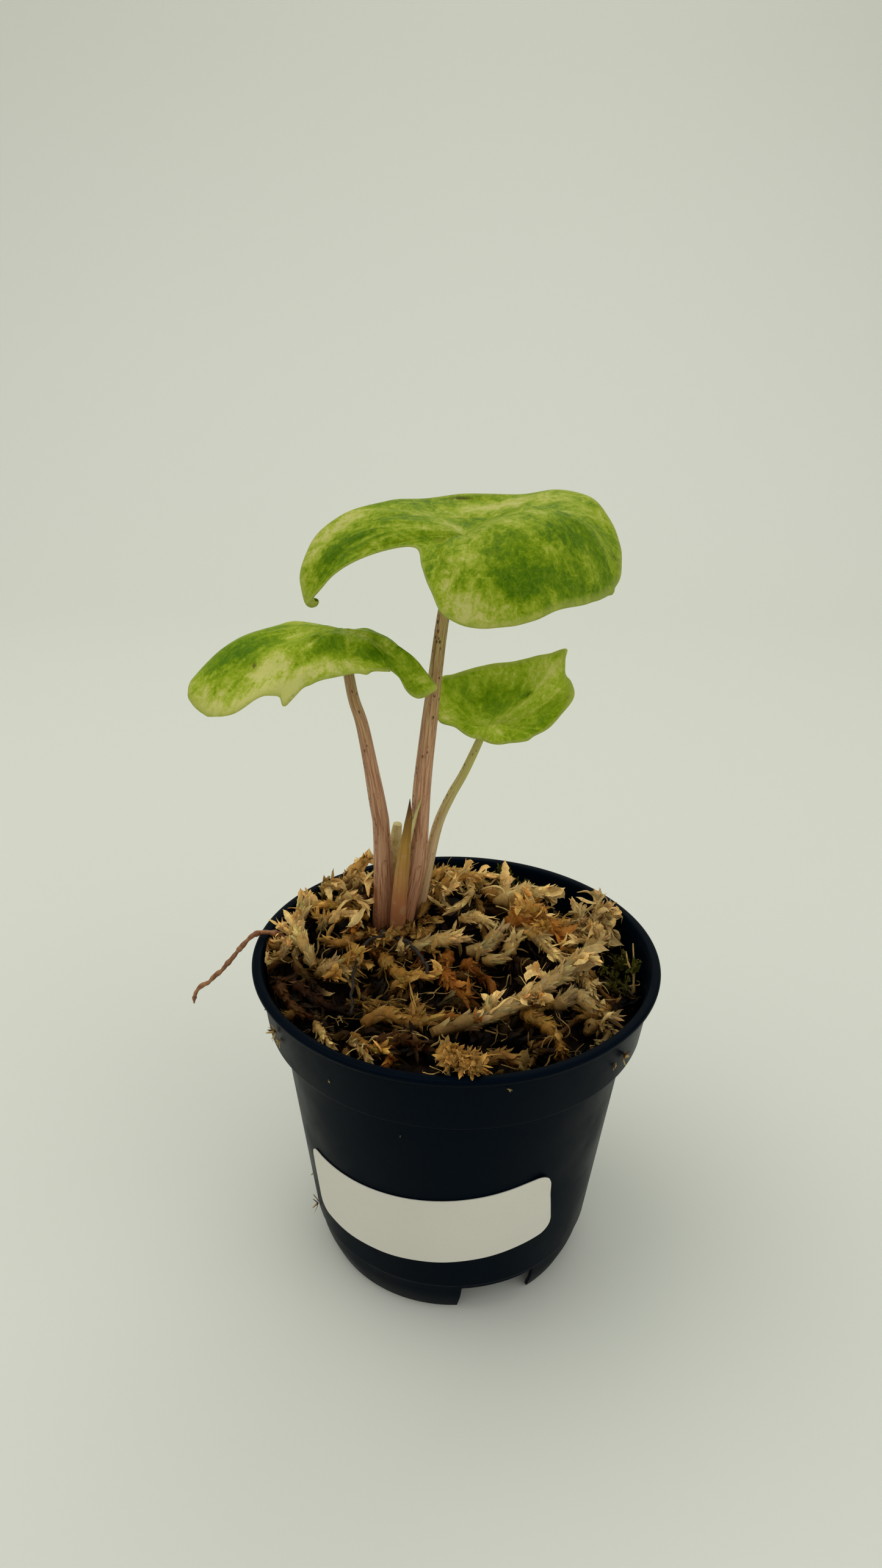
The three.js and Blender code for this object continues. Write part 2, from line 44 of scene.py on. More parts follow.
# Camera, from the circles of the pot in the photograph
IMAGE_HEIGHT_PX = 2569
FOCAL_PX = 1782
SENSOR_MM = 36
CAMERA_AT = (-3.995, -206.2, 207.11)
CAMERA_PITCH = math.radians(23.97)
CAMERA_ROLL = math.radians(0.965)

# Pot
POT_HEIGHT = 75.2
RIM_RADIUS = 45.0
LIP_WIDTH = 2.5
BAND_TOP_RADIUS = 43.4
BAND_FOOT_RADIUS = 41.8
BAND_FOOT_Z = 61.0
BODY_TOP_RADIUS = 39.0
BODY_FOOT_RADIUS = 32.8
BODY_FOOT_Z = 9.4
BASE_BEND_RADIUS = 31.6
BASE_BEND_Z = 4.6
FOOT_RADIUS = 29.7
WALL = 1.0
PLATE_LOW = 8.2
PLATE_HIGH = 9.2
BOSS_RADIUS = 8.0
NOTCH_COUNT = 3
NOTCH_CENTRE = math.radians(-70.4)
NOTCH_HALF_WIDTH = 8.5
NOTCH_HEIGHT = 8.1
DRAIN_COUNT = 6
DRAIN_RADIUS = 2.5
DRAIN_CIRCLE = 19.0

CORNER_POINTS = 4
LIP_INNER_RADIUS = RIM_RADIUS - LIP_WIDTH
BAND_SLOPE = 0.13
BAND_INNER_SLOPE = 0.09
BODY_SLOPE = (BODY_TOP_RADIUS - BODY_FOOT_RADIUS) / (BAND_FOOT_Z - BODY_FOOT_Z)
INNER_STEP_Z = BAND_FOOT_Z + 1.5

# Label. Its middle line rises to the right by LABEL_SKEW mm a radian and bows up to both ends
LABEL_MIDDLE = 27.2
LABEL_HEIGHT = 19.3
LABEL_START = math.radians(-150)
LABEL_END = math.radians(-54)
LABEL_SKEW = 2.9
LABEL_BOW = 2.1
LABEL_CORNER = 3.2
LABEL_GAP = 0.16
LABEL_THICKNESS = 0.18

# Moss surface: a level with heaps and hollows [x, y, height, width]
MOSS_LEVEL = 68.5
MOSS_HEAPS = np.array([
    [-4, 22, 10, 12],
    [-25, 17, 8, 9],
    [20, 14, 5, 12],
    [-38, 1, 4, 9],
    [0, -35, 4.5, 11],
    [-20, -27, 2.5, 10],
    [26, -16, 2, 9],
    [42, 4, -4, 7],
    [26, 34, -5, 9],
    [-30, 34, -4, 9],
    [-25, -13, -3.5, 5],
    [7, -11, -3, 5],
    [-13, 4, 1.5, 6],
])
MOSS_REACH = LIP_INNER_RADIUS - 0.4
CORE_DEPTH = 3.4
CORE_TOP_RADIUS = 40.0
CROWN_X = -13.0
CROWN_Y = 9.5

# Backdrop: a flat floor that bends up into a wall, in metres
FLOOR_FRONT = -1.6
FLOOR_BACK = 0.55
BEND_RADIUS = 0.45
WALL_TOP = 2.2
STAGE_HALF_WIDTH = 2.4
FLOOR_COLOUR = (0.725, 0.745, 0.66)


# Small tools


def spline(points, at, closed=False):
    """Even Catmull-Rom curve through the points, at values from 0 to 1."""
    p = np.asarray(points, float)
    count = len(p)
    spans = count if closed else count - 1
    s = np.asarray(at, float) * spans
    if closed:
        i = np.floor(s).astype(int)
        a, b, c, d = (p[(i + k) % count] for k in (-1, 0, 1, 2))
    else:
        i = np.clip(np.floor(s).astype(int), 0, spans - 1)
        q = np.vstack([2 * p[0] - p[1], p, 2 * p[-1] - p[-2]])
        a, b, c, d = q[i], q[i + 1], q[i + 2], q[i + 3]
    t = (s - i)[..., None]
    cubic = (2 * a - 5 * b + 4 * c - d) * t**2 + (3 * b - a - 3 * c + d) * t**3
    return 0.5 * (2 * b + (c - a) * t + cubic)


def unit(v):
    return v / np.maximum(np.linalg.norm(v, axis=-1, keepdims=True), 1e-9)


def smoothstep(low, high, x):
    t = np.clip((x - low) / (high - low), 0, 1)
    return t * t * (3 - 2 * t)


def bell(x):
    return np.exp(-x * x)


def mound(x, y, at_x, at_y, wide):
    """A round hump of height 1, that wide."""
    return np.exp(-((x - at_x) ** 2 + (y - at_y) ** 2) / (2 * wide**2))


def moss_height(x, y):
    z = np.full(np.shape(x), MOSS_LEVEL)
    for at_x, at_y, height, width in MOSS_HEAPS:
        z = z + height * mound(x, y, at_x, at_y, width)
    return z


def outer_radius(z):
    return BODY_FOOT_RADIUS + BODY_SLOPE * (z - BODY_FOOT_Z)


def inner_radius(z):
    band = BAND_FOOT_RADIUS - WALL + (z - BAND_FOOT_Z) * BAND_INNER_SLOPE
    return np.where(z > INNER_STEP_Z, band, outer_radius(z) - WALL)


def ring_angles(sides):
    return np.arange(sides) * 2 * math.pi / sides


def circle(radius, sides):
    angle = ring_angles(sides)
    return radius * np.cos(angle), radius * np.sin(angle)


def ring_faces(rows, sides):
    """Quads between neighbouring rings of so many corners."""
    i, j = np.meshgrid(np.arange(rows - 1), np.arange(sides), indexing="ij")
    a = (i * sides + j).ravel()
    b = (i * sides + (j + 1) % sides).ravel()
    return np.stack([a, b, b + sides, a + sides], -1)


def end_fans(rows, sides):
    """Triangles that close both ends of a stack of rings, round two middles that follow the last ring."""
    k = np.arange(sides)
    n = (k + 1) % sides
    end = (rows - 1) * sides
    low = np.full(sides, rows * sides)
    return np.concatenate([np.stack([low, n, k], -1), np.stack([low + 1, k + end, n + end], -1)])


def sheet_faces(rows, columns):
    """Quads of a thin sheet: two grids of points, one after the other, joined along their border."""
    grid = np.arange(rows * columns).reshape(rows, columns)
    skin = np.stack([grid[:-1, :-1], grid[:-1, 1:], grid[1:, 1:], grid[1:, :-1]], -1).reshape(-1, 4)
    border = np.concatenate([grid[:-1, 0], grid[-1, :-1], grid[:0:-1, -1], grid[0, :0:-1]])
    ahead = np.roll(border, -1)
    wall = np.stack([border, ahead, ahead + grid.size, border + grid.size], -1)
    return np.concatenate([skin, skin[:, ::-1] + grid.size, wall])


def rings_about(normal, binormal, angle):
    """Unit vectors at the angles round each station of a line."""
    return normal[:, None] * np.cos(angle)[:, None] + binormal[:, None] * np.sin(angle)[:, None]


def lengths(line):
    """The length along a line at each of its points."""
    return np.concatenate([[0], np.cumsum(np.linalg.norm(np.diff(line, axis=0), axis=1))])


def along(line, places, at):
    """Points at the places on a line whose own points lie at the given ones."""
    return np.stack([np.interp(places, at, line[:, k]) for k in range(3)], -1)


def even_line(points, steps):
    """Points along the curve through the given ones, evenly spaced, with their share of the whole."""
    fine = spline(points, np.linspace(0, 1, 400))
    length = lengths(fine)
    at = np.linspace(0, length[-1], steps + 1)
    return along(fine, at, length), at / length[-1]


def tube(centres, radii, sides, ridges=0.0):
    """A closed tube through the centres. Returns vertices, quads, triangles and uv (turn, length)."""
    rows = len(centres)
    tangent = unit(np.gradient(centres, axis=0))
    normal = np.empty_like(centres)
    seed = np.array([1.0, 0, 0]) if abs(tangent[0, 0]) < 0.8 else np.array([0, 1.0, 0])
    normal[0] = unit(seed - tangent[0] * (seed @ tangent[0]))
    for i in range(1, rows):
        normal[i] = unit(normal[i - 1] - tangent[i] * (normal[i - 1] @ tangent[i]))
    angle = ring_angles(sides)
    ring = rings_about(normal, np.cross(tangent, normal), angle)
    skin = centres[:, None] + ring * (radii[:, None] * (1 + ridges))[..., None]
    vertices = np.concatenate([skin.reshape(-1, 3), centres[:1], centres[-1:]])
    turn, length = np.meshgrid(angle / (2 * math.pi), lengths(centres) * 0.05)
    uv = np.concatenate([np.stack([turn, length], -1).reshape(-1, 2), [[0, 0], [0, length[-1, 0]]]])
    return vertices, ring_faces(rows, sides), end_fans(rows, sides), uv


def make_mesh(name, vertices, quads=(), triangles=(), tint=None, uv=None, fields=None):
    """A mesh object from arrays in millimetres. tint, uv and fields hold one value a vertex."""
    quads = np.asarray(quads, int).reshape(-1, 4)
    triangles = np.asarray(triangles, int).reshape(-1, 3)
    mesh = bpy.data.meshes.new(name)
    mesh.vertices.add(len(vertices))
    mesh.vertices.foreach_set("co", (np.asarray(vertices, float) * MM).ravel())
    loops = np.concatenate([quads.ravel(), triangles.ravel()]).astype(np.int32)
    sizes = np.concatenate([np.full(len(quads), 4), np.full(len(triangles), 3)])
    starts = np.concatenate([[0], np.cumsum(sizes)[:-1]]).astype(np.int32)
    mesh.loops.add(len(loops))
    mesh.loops.foreach_set("vertex_index", loops)
    mesh.polygons.add(len(sizes))
    mesh.polygons.foreach_set("loop_start", starts)
    mesh.update(calc_edges=True)
    mesh.polygons.foreach_set("use_smooth", np.ones(len(sizes), bool))
    if tint is not None:
        colour = np.ones((len(vertices), 4))
        colour[:, :3] = tint
        layer = mesh.color_attributes.new("tint", "FLOAT_COLOR", "POINT")
        layer.data.foreach_set("color", colour.ravel())
    for key, values in (fields or {}).items():
        layer = mesh.attributes.new(key, "FLOAT", "POINT")
        layer.data.foreach_set("value", np.asarray(values, float).ravel())
    if uv is not None:
        corner = np.asarray(uv, float)[loops]
        split = quads.size
        for block in (corner[:split].reshape(-1, 4, 2), corner[split:].reshape(-1, 3, 2)):
            across_seam = np.ptp(block[..., 0], axis=1) > 0.5
            block[..., 0] += across_seam[:, None] & (block[..., 0] < 0.5)
        layer = mesh.uv_layers.new(name="UVMap")
        layer.uv.foreach_set("vector", corner.ravel())
    piece = bpy.data.objects.new(name, mesh)
    bpy.context.scene.collection.objects.link(piece)
    return piece


def place(piece, material, slot, *nodes):
    piece.data.materials.append(material)
    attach(piece, "root")
    if nodes:
        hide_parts(*nodes)


# Shader tools


class Shader:
    """A material whose nodes are made by short calls. Each call returns an output socket."""

    def __init__(self, name):
        self.material = bpy.data.materials.new(name)
        self.material.use_nodes = True
        self.tree = self.material.node_tree
        self.tree.nodes.clear()

    def node(self, kind, settings=(), **inputs):
        node = self.tree.nodes.new(kind)
        for key, value in dict(settings).items():
            setattr(node, key, value)
        for key, value in inputs.items():
            self.feed(node.inputs[key.replace("_", " ")], value)
        return node

    def feed(self, socket, value):
        if isinstance(value, bpy.types.NodeSocket):
            self.tree.links.new(value, socket)
        elif value is not None:
            socket.default_value = value

    def coords(self, kind="Object", scale=(1, 1, 1)):
        coordinates = self.node("ShaderNodeTexCoord").outputs[kind]
        mapping = self.node("ShaderNodeMapping", Vector=coordinates)
        mapping.inputs["Scale"].default_value = scale
        return mapping.outputs[0]

    def height(self):
        return self.node("ShaderNodeSeparateXYZ", Vector=self.coords()).outputs[2]

    def fan(self, around, along):
        """Seamless coordinates from the UV map: u runs round a closed turn of so many cells, v along it."""
        uv = self.node("ShaderNodeSeparateXYZ", Vector=self.coords("UV")).outputs
        angle = self.maths("MULTIPLY", uv[0], 2 * math.pi)
        x = self.maths("MULTIPLY", self.maths("COSINE", angle), around / (2 * math.pi))
        y = self.maths("MULTIPLY", self.maths("SINE", angle), around / (2 * math.pi))
        z = self.maths("MULTIPLY", uv[1], along)
        return self.node("ShaderNodeCombineXYZ", X=x, Y=y, Z=z).outputs[0]

    def warped(self, vector, scale, amount):
        """The vector pushed about by smooth noise."""
        noise = self.node("ShaderNodeTexNoise", Vector=vector, Scale=scale, Detail=3.0).outputs["Color"]
        push = self.node("ShaderNodeVectorMath", {"operation": "MULTIPLY_ADD"})
        self.feed(push.inputs[0], noise)
        push.inputs[1].default_value = (amount, amount, amount)
        self.feed(push.inputs[2], vector)
        return push.outputs[0]

    def noise(self, vector, scale, detail=3.0, roughness=0.5, distortion=0.0):
        node = self.node("ShaderNodeTexNoise", Vector=vector, Scale=scale, Detail=detail)
        node.inputs["Roughness"].default_value = roughness
        node.inputs["Distortion"].default_value = distortion
        return node.outputs["Fac"]

    def cells(self, vector, feature="F1"):
        node = self.node("ShaderNodeTexVoronoi", {"feature": feature}, Vector=vector, Scale=1.0)
        return node.outputs["Distance"]

    def field(self, name, output="Fac"):
        node = self.node("ShaderNodeAttribute", {"attribute_name": name})
        return node.outputs[output]

    def maths(self, operation, a, b=None, clamp=False):
        node = self.node("ShaderNodeMath", {"operation": operation, "use_clamp": clamp})
        self.feed(node.inputs[0], a)
        self.feed(node.inputs[1], b)
        return node.outputs[0]

    def span(self, value, low, high, to_low=0.0, to_high=1.0):
        node = self.node("ShaderNodeMapRange", {"clamp": True, "interpolation_type": "SMOOTHSTEP"})
        for index, item in enumerate((value, low, high, to_low, to_high)):
            self.feed(node.inputs[index], item)
        return node.outputs[0]

    def blend(self, factor, a, b, mode="MIX"):
        node = self.node("ShaderNodeMix", {"data_type": "RGBA", "blend_type": mode, "clamp_factor": True})
        self.feed(node.inputs[0], factor)
        self.feed(node.inputs[6], (*a, 1) if isinstance(a, tuple) else a)
        self.feed(node.inputs[7], (*b, 1) if isinstance(b, tuple) else b)
        return node.outputs[2]

    def ramp(self, value, stops):
        node = self.node("ShaderNodeValToRGB", Fac=value)
        elements = node.color_ramp.elements
        while len(elements) < len(stops):
            elements.new(0.5)
        for element, (position, colour) in zip(elements, stops):
            element.position = position
            element.color = (*colour, 1)
        return node.outputs["Color"]

    def over(self, base, mask, amount, colour):
        """The base with a colour laid over it where the mask is high."""
        return self.blend(self.maths("MULTIPLY", mask, amount), base, colour)

    def spots(self, base, value, low, high, amount, colour):
        """The base with a colour laid over it where the value goes past low and up to high."""
        return self.blend(self.span(value, low, high, 0, amount), base, colour)

    def relief(self, *layers):
        """Bumps over one another, each as height, strength and depth in millimetres."""
        normal = None
        for height, strength, depth in layers:
            node = self.node("ShaderNodeBump", Height=height, Strength=strength, Distance=depth * MM,
                             Normal=normal)
            normal = node.outputs[0]
        return normal

    def finish(self, colour, roughness, normal, specular, through=0.0, glow_colour=None):
        """The material with that surface. A share of the light goes through it, tinted by the glow colour."""
        skin = self.node("ShaderNodeBsdfPrincipled", Roughness=roughness, Base_Color=colour, Normal=normal)
        skin.inputs["Specular IOR Level"].default_value = specular
        surface = skin.outputs[0]
        if through:
            glow = self.node("ShaderNodeBsdfTranslucent", Color=glow_colour or colour, Normal=normal)
            both = self.node("ShaderNodeMixShader", Fac=through)
            self.feed(both.inputs[1], surface)
            self.feed(both.inputs[2], glow.outputs[0])
            surface = both.outputs[0]
        self.node("ShaderNodeOutputMaterial", Surface=surface)
        return self.material


# Materials


def pot_material():
    """Near-black plastic with a cool cast, faint dust and rubbed streaks."""
    s = Shader("dark_pot_plastic")
    where = s.coords()
    cloud = s.noise(where, 70, 4, 0.55)
    rub = s.span(s.noise(s.coords(scale=(1, 1, 9)), 260, 5, 0.65, 0.8), 0.60, 0.76)
    base = s.blend(cloud, (0.0001, 0.0016, 0.0044), (0.0003, 0.0036, 0.0082))
    base = s.spots(base, s.noise(where, 900, 5, 0.7, 0.4), 0.60, 0.74, 0.025, (0.08, 0.08, 0.075))
    base = s.over(base, rub, 0.025, (0.07, 0.09, 0.10))
    gloss = s.maths("ADD", s.span(cloud, 0.3, 0.7, 0.30, 0.44), s.maths("MULTIPLY", rub, 0.15))
    normal = s.relief((s.noise(where, 2600, 2, 0.6), 0.16, 0.05), (s.noise(where, 130, 3), 0.10, 0.5))
    return s.finish(base, gloss, normal, 0.02)


def label_material():
    """Bare off-white paper with fibres and a few specks."""
    s = Shader("bare_label_paper")
    where = s.coords()
    fibre = s.noise(s.coords(scale=(1, 1, 2.2)), 1500, 5, 0.7)
    cloud = s.noise(where, 60, 3)
    base = s.blend(cloud, (0.67, 0.645, 0.555), (0.73, 0.705, 0.61))
    base = s.spots(base, fibre, 0.52, 0.75, 0.25, (0.50, 0.48, 0.42))
    base = s.spots(base, s.noise(where, 700, 3, 0.6), 0.72, 0.78, 0.35, (0.30, 0.27, 0.22))
    normal = s.relief((fibre, 0.25, 0.04), (s.noise(where, 90, 2), 0.2, 0.3))
    return s.finish(base, s.span(cloud, 0.3, 0.7, 0.55, 0.7), normal, 0.35)


LEAF_TONES = (
    (0.00, (0.070, 0.172, 0.0006)),
    (0.20, (0.105, 0.225, 0.0008)),
    (0.33, (0.168, 0.290, 0.0020)),
    (0.47, (0.245, 0.368, 0.0060)),
    (0.57, (0.335, 0.450, 0.0160)),
    (0.70, (0.435, 0.530, 0.0420)),
    (0.83, (0.575, 0.610, 0.1050)),
    (1.00, (0.720, 0.700, 0.2200)),
)


def leaf_material(name, seed, light, rough):
    """Green to cream by the painted tone, torn up by noise. light scales the tones, above 1 as painted light
    for a blade in shade, and rough the noise.
    """
    s = Shader(name)
    shift = s.node("ShaderNodeVectorMath", {"operation": "ADD"})
    s.feed(shift.inputs[0], s.coords())
    shift.inputs[1].default_value = (seed, seed * 0.7, seed * 1.3)
    where = shift.outputs[0]
    torn = s.warped(where, 260, 0.006)
    patch = s.noise(torn, 120, 6, 0.62, 0.4)
    mottle = s.noise(torn, 620, 6, 0.72, 0.3)
    speckle = s.noise(where, 1700, 5, 0.75)
    streak = s.noise(s.warped(s.fan(52, 3.4), 1.4, 0.5), 1.0, 6, 0.66)
    dab = s.noise(s.fan(110, 16), 1.0, 4, 0.7)
    tone = s.field("paint")
    for source, amount in ((patch, 1.10), (mottle, 1.45), (streak, 0.90), (dab, 0.70), (speckle, 0.70)):
        centred = s.maths("SUBTRACT", source, 0.5)
        tone = s.maths("ADD", tone, s.maths("MULTIPLY", centred, rough * amount))
    tone = s.maths("ADD", tone, s.maths("MULTIPLY", s.field("vein"), 0.24), True)
    colour = s.ramp(tone, [(at, tuple(light * c for c in tint)) for at, tint in LEAF_TONES])
    web = s.span(s.cells(s.fan(150, 26), "DISTANCE_TO_EDGE"), 0.0, 0.10, 1, 0)
    colour = s.over(colour, web, 0.14, (0.42, 0.50, 0.06))
    colour = s.over(colour, s.field("rim"), 0.55, (0.56, 0.58, 0.14))
    worn = s.span(s.noise(where, 1300, 4, 0.7), 0.38, 0.52)
    colour = s.over(colour, s.field("scar"), worn, (0.060, 0.032, 0.008))
    colour = s.over(colour, s.field("under"), 0.45, (0.30, 0.40, 0.05))
    normal = s.relief((speckle, 0.12, 0.06), (mottle, 0.25, 0.22), (streak, 0.22, 0.30))
    glow = s.blend(0.5, colour, (0.46, 0.56, 0.01))
    return s.finish(colour, s.span(mottle, 0.35, 0.65, 0.36, 0.48), normal, 0.07, 0.34, glow)


def stalk_material(name, low, high, line_colour, green_from, green_to):
    """Fleshy stalk with lengthwise lines and dark flecks, turning green between the two heights."""
    s = Shader(name)
    lines = s.noise(s.fan(26, 2.0), 1.0, 4, 0.6)
    fine = s.noise(s.fan(64, 4.0), 1.0, 4, 0.65)
    height = s.height()
    base = s.blend(s.span(height, green_from * MM, green_to * MM), low, high)
    base = s.spots(base, lines, 0.42, 0.60, 0.72, line_colour)
    base = s.spots(base, fine, 0.48, 0.64, 0.6, (0.70, 0.47, 0.29))
    base = s.blend(s.span(height, 74 * MM, 94 * MM, 0.75, 0), base, (0.21, 0.055, 0.012))
    fleck = s.span(s.cells(s.fan(9, 13)), 0.22, 0.32, 0.85, 0)
    fleck = s.maths("MULTIPLY", fleck, s.span(s.noise(s.fan(7, 4), 1.0, 2), 0.46, 0.58))
    base = s.over(base, fleck, s.span(height, 84 * MM, 125 * MM, 0.35, 1.0), (0.055, 0.018, 0.010))
    normal = s.relief((lines, 0.4, 0.25), (fine, 0.35, 0.12), (s.noise(s.coords(), 700, 3), 0.12, 0.15))
    return s.finish(base, s.span(fine, 0.3, 0.7, 0.38, 0.52), normal, 0.16)


def sheath_material():
    """Pinkish brown at the foot, tan and olive above, with a browned edge and tip."""
    s = Shader("sheath_skin")
    lines = s.noise(s.fan(30, 1.6), 1.0, 4, 0.6)
    cloud = s.noise(s.coords(), 420, 5, 0.65, 0.5)
    base = s.ramp(s.span(s.height(), 72 * MM, 110 * MM), (
        (0.0, (0.20, 0.060, 0.028)),
        (0.25, (0.44, 0.165, 0.065)),
        (0.5, (0.58, 0.29, 0.09)),
        (0.8, (0.52, 0.30, 0.055)),
        (1.0, (0.20, 0.10, 0.02)),
    ))
    base = s.spots(base, lines, 0.45, 0.65, 0.5, (0.22, 0.14, 0.03))
    base = s.spots(base, cloud, 0.52, 0.72, 0.5, (0.52, 0.36, 0.17))
    base = s.over(base, s.field("edge"), s.span(cloud, 0.3, 0.5, 0.5, 1), (0.11, 0.035, 0.010))
    normal = s.relief((lines, 0.5, 0.2), (cloud, 0.25, 0.12))
    return s.finish(base, 0.48, normal, 0.16, 0.12)


def plant_material(name, dark, light, roughness=0.6, scale=500):
    """Root, old stalk or rootstock: two tones in coarse and fine noise."""
    s = Shader(name)
    cloud = s.noise(s.coords(), scale, 5, 0.65, 0.5)
    fine = s.noise(s.coords(), scale * 5, 3, 0.6)
    base = s.blend(s.span(cloud, 0.35, 0.65), dark, light)
    base = s.spots(base, fine, 0.5, 0.75, 0.4, tuple(0.45 * c for c in dark))
    return s.finish(base, roughness, s.relief((cloud, 0.5, 0.25), (fine, 0.35, 0.08)), 0.35)


def moss_material(name, through):
    """Dried moss in the tint of each vertex, clouded and grained."""
    s = Shader(name)
    where = s.coords()
    tint = s.field("tint", "Color")
    fine = s.noise(where, 2400, 4, 0.65)
    cloud = s.noise(where, 420, 4, 0.6)
    base = s.spots(tint, cloud, 0.42, 0.70, 0.42, s.blend(1.0, tint, (0.70, 0.46, 0.22), "MULTIPLY"))
    base = s.spots(base, fine, 0.35, 0.7, 0.5, s.blend(1.0, base, (0.55, 0.5, 0.42), "MULTIPLY"))
    normal = s.relief((fine, 0.5, 0.12), (s.noise(where, 900, 3), 0.4, 0.25))
    return s.finish(base, s.span(cloud, 0.3, 0.7, 0.42, 0.68), normal, 0.09, through)


def stage_material():
    s = Shader("pale_backdrop")
    base = s.blend(s.noise(s.coords(), 3, 2), tuple(0.985 * c for c in FLOOR_COLOUR), FLOOR_COLOUR)
    return s.finish(base, 0.75, None, 0.2)


# Pot


def lathe(profile, sides):
    """Vertices and quads of a closed profile of [radius, height] points turned round the pot axis."""
    x, y = circle(1.0, sides)
    rows = [np.stack([radius * x, radius * y, np.full(sides, z)], -1) for radius, z in profile]
    return np.concatenate(rows), ring_faces(len(rows) + 1, sides) % (len(rows) * sides)


def rounded(corners):
    """The closed line through [x, y, radius] corners, each replaced by a curve of about that radius."""
    points = np.array([corner[:2] for corner in corners], float)
    sides = np.stack([np.roll(points, 1, 0), np.roll(points, -1, 0)], 1)
    line = []
    for corner, (before, after), (_, _, radius) in zip(points, sides, corners):
        if radius <= 0:
            line.append(corner)
            continue
        start, end = (corner + unit(side - corner) * min(radius, 0.45 * np.linalg.norm(side - corner))
                      for side in (before, after))
        for t in np.linspace(0, 1, CORNER_POINTS):
            line.append((1 - t) ** 2 * start + 2 * t * (1 - t) * corner + t**2 * end)
    return line


def pot_profile():
    """From the middle of the underside out, up the outside, over the lip and down inside."""
    plate_edge = float(inner_radius(PLATE_HIGH)) - 1
    wall_foot = float(inner_radius(PLATE_HIGH + 1))
    return rounded([
        (0.02, 0, 0), (BOSS_RADIUS, 0, 0.4), (BOSS_RADIUS + 1.5, PLATE_LOW, 0.5),
        (BODY_FOOT_RADIUS - 1.6 * WALL, PLATE_LOW, 0.4), (BASE_BEND_RADIUS - WALL, BASE_BEND_Z, 2),
        (FOOT_RADIUS - WALL, 0, 0.25), (FOOT_RADIUS, 0, 0.3), (BASE_BEND_RADIUS, BASE_BEND_Z, 2),
        (BODY_FOOT_RADIUS - 0.35, BODY_FOOT_Z - 0.5, 0.25), (BODY_FOOT_RADIUS, BODY_FOOT_Z, 0.25),
        (BODY_TOP_RADIUS, BAND_FOOT_Z - 0.4, 0.5), (BAND_FOOT_RADIUS, BAND_FOOT_Z, 0.5),
        (BAND_TOP_RADIUS, POT_HEIGHT - 1.9, 0.35), (RIM_RADIUS - 0.2, POT_HEIGHT - 1.5, 0.45),
        (RIM_RADIUS, POT_HEIGHT - 0.35, 0.45), (RIM_RADIUS - 0.7, POT_HEIGHT, 0.45),
        (LIP_INNER_RADIUS + 0.5, POT_HEIGHT - 0.05, 0.4), (LIP_INNER_RADIUS, POT_HEIGHT - 0.9, 0.4),
        (BAND_FOOT_RADIUS - WALL, INNER_STEP_Z, 0.4), (BODY_TOP_RADIUS - WALL, BAND_FOOT_Z + 0.8, 0.4),
        (wall_foot, PLATE_HIGH + 1, 0.4), (plate_edge, PLATE_HIGH, 0.4),
        (BOSS_RADIUS, PLATE_HIGH, 0.3), (BOSS_RADIUS - 1.2, WALL, 0.3), (0.02, WALL, 0),
    ])


def cut(piece, cutters):
    for cutter in cutters:
        modifier = piece.modifiers.new("cut", "BOOLEAN")
        modifier.object = cutter
        modifier.operation = "DIFFERENCE"
        modifier.solver = "EXACT"
    graph = bpy.context.evaluated_depsgraph_get()
    mesh = bpy.data.meshes.new_from_object(piece.evaluated_get(graph))
    piece.modifiers.clear()
    piece.data = mesh
    for cutter in cutters:
        bpy.data.objects.remove(cutter)


def box_cutter(size, centre, angle):
    x, y, z = (0.5 * v for v in size)
    corners = np.array([[i, j, k] for i in (-x, x) for j in (-y, y) for k in (-z, z)], float)
    corners += centre
    c, s = math.cos(angle), math.sin(angle)
    corners[:, :2] = corners[:, :2] @ np.array([[c, s], [-s, c]])
    faces = [(0, 1, 3, 2), (4, 6, 7, 5), (0, 4, 5, 1), (2, 3, 7, 6), (0, 2, 6, 4), (1, 5, 7, 3)]
    return make_mesh("cutter", corners, faces)


def drum_cutter(radius, low, high, x, y):
    sides = 32
    across, deep = circle(radius, sides)
    rings = [np.stack([x + across, y + deep, np.full(sides, z)], -1) for z in (low, high)]
    vertices = np.concatenate([*rings, [[x, y, low], [x, y, high]]])
    return make_mesh("cutter", vertices, ring_faces(2, sides), end_fans(2, sides))


def shade_by_angle(piece, limit):
    """Smooth faces, with edges sharper than the limit in degrees marked sharp."""
    mesh = piece.data
    mesh.polygons.foreach_set("use_smooth", np.ones(len(mesh.polygons), bool))
    mesh.set_sharp_from_angle(angle=math.radians(limit))


def make_pot(material):
    pot = make_mesh("nursery_pot", *lathe(pot_profile(), 240))
    cutters = []
    for i in range(NOTCH_COUNT):
        angle = NOTCH_CENTRE + i * 2 * math.pi / NOTCH_COUNT
        size = (8, 2 * NOTCH_HALF_WIDTH, 2 * NOTCH_HEIGHT)
        cutters.append(box_cutter(size, (FOOT_RADIUS, 0, 0), angle))
    for i in range(DRAIN_COUNT):
        angle = NOTCH_CENTRE + (i + 0.5) * 2 * math.pi / DRAIN_COUNT
        x = DRAIN_CIRCLE * math.cos(angle)
        y = DRAIN_CIRCLE * math.sin(angle)
        cutters.append(drum_cutter(DRAIN_RADIUS, -4, 12, x, y))
    cut(pot, cutters)
    shade_by_angle(pot, 40)
    place(pot, material, "pot_plastic", "pot")


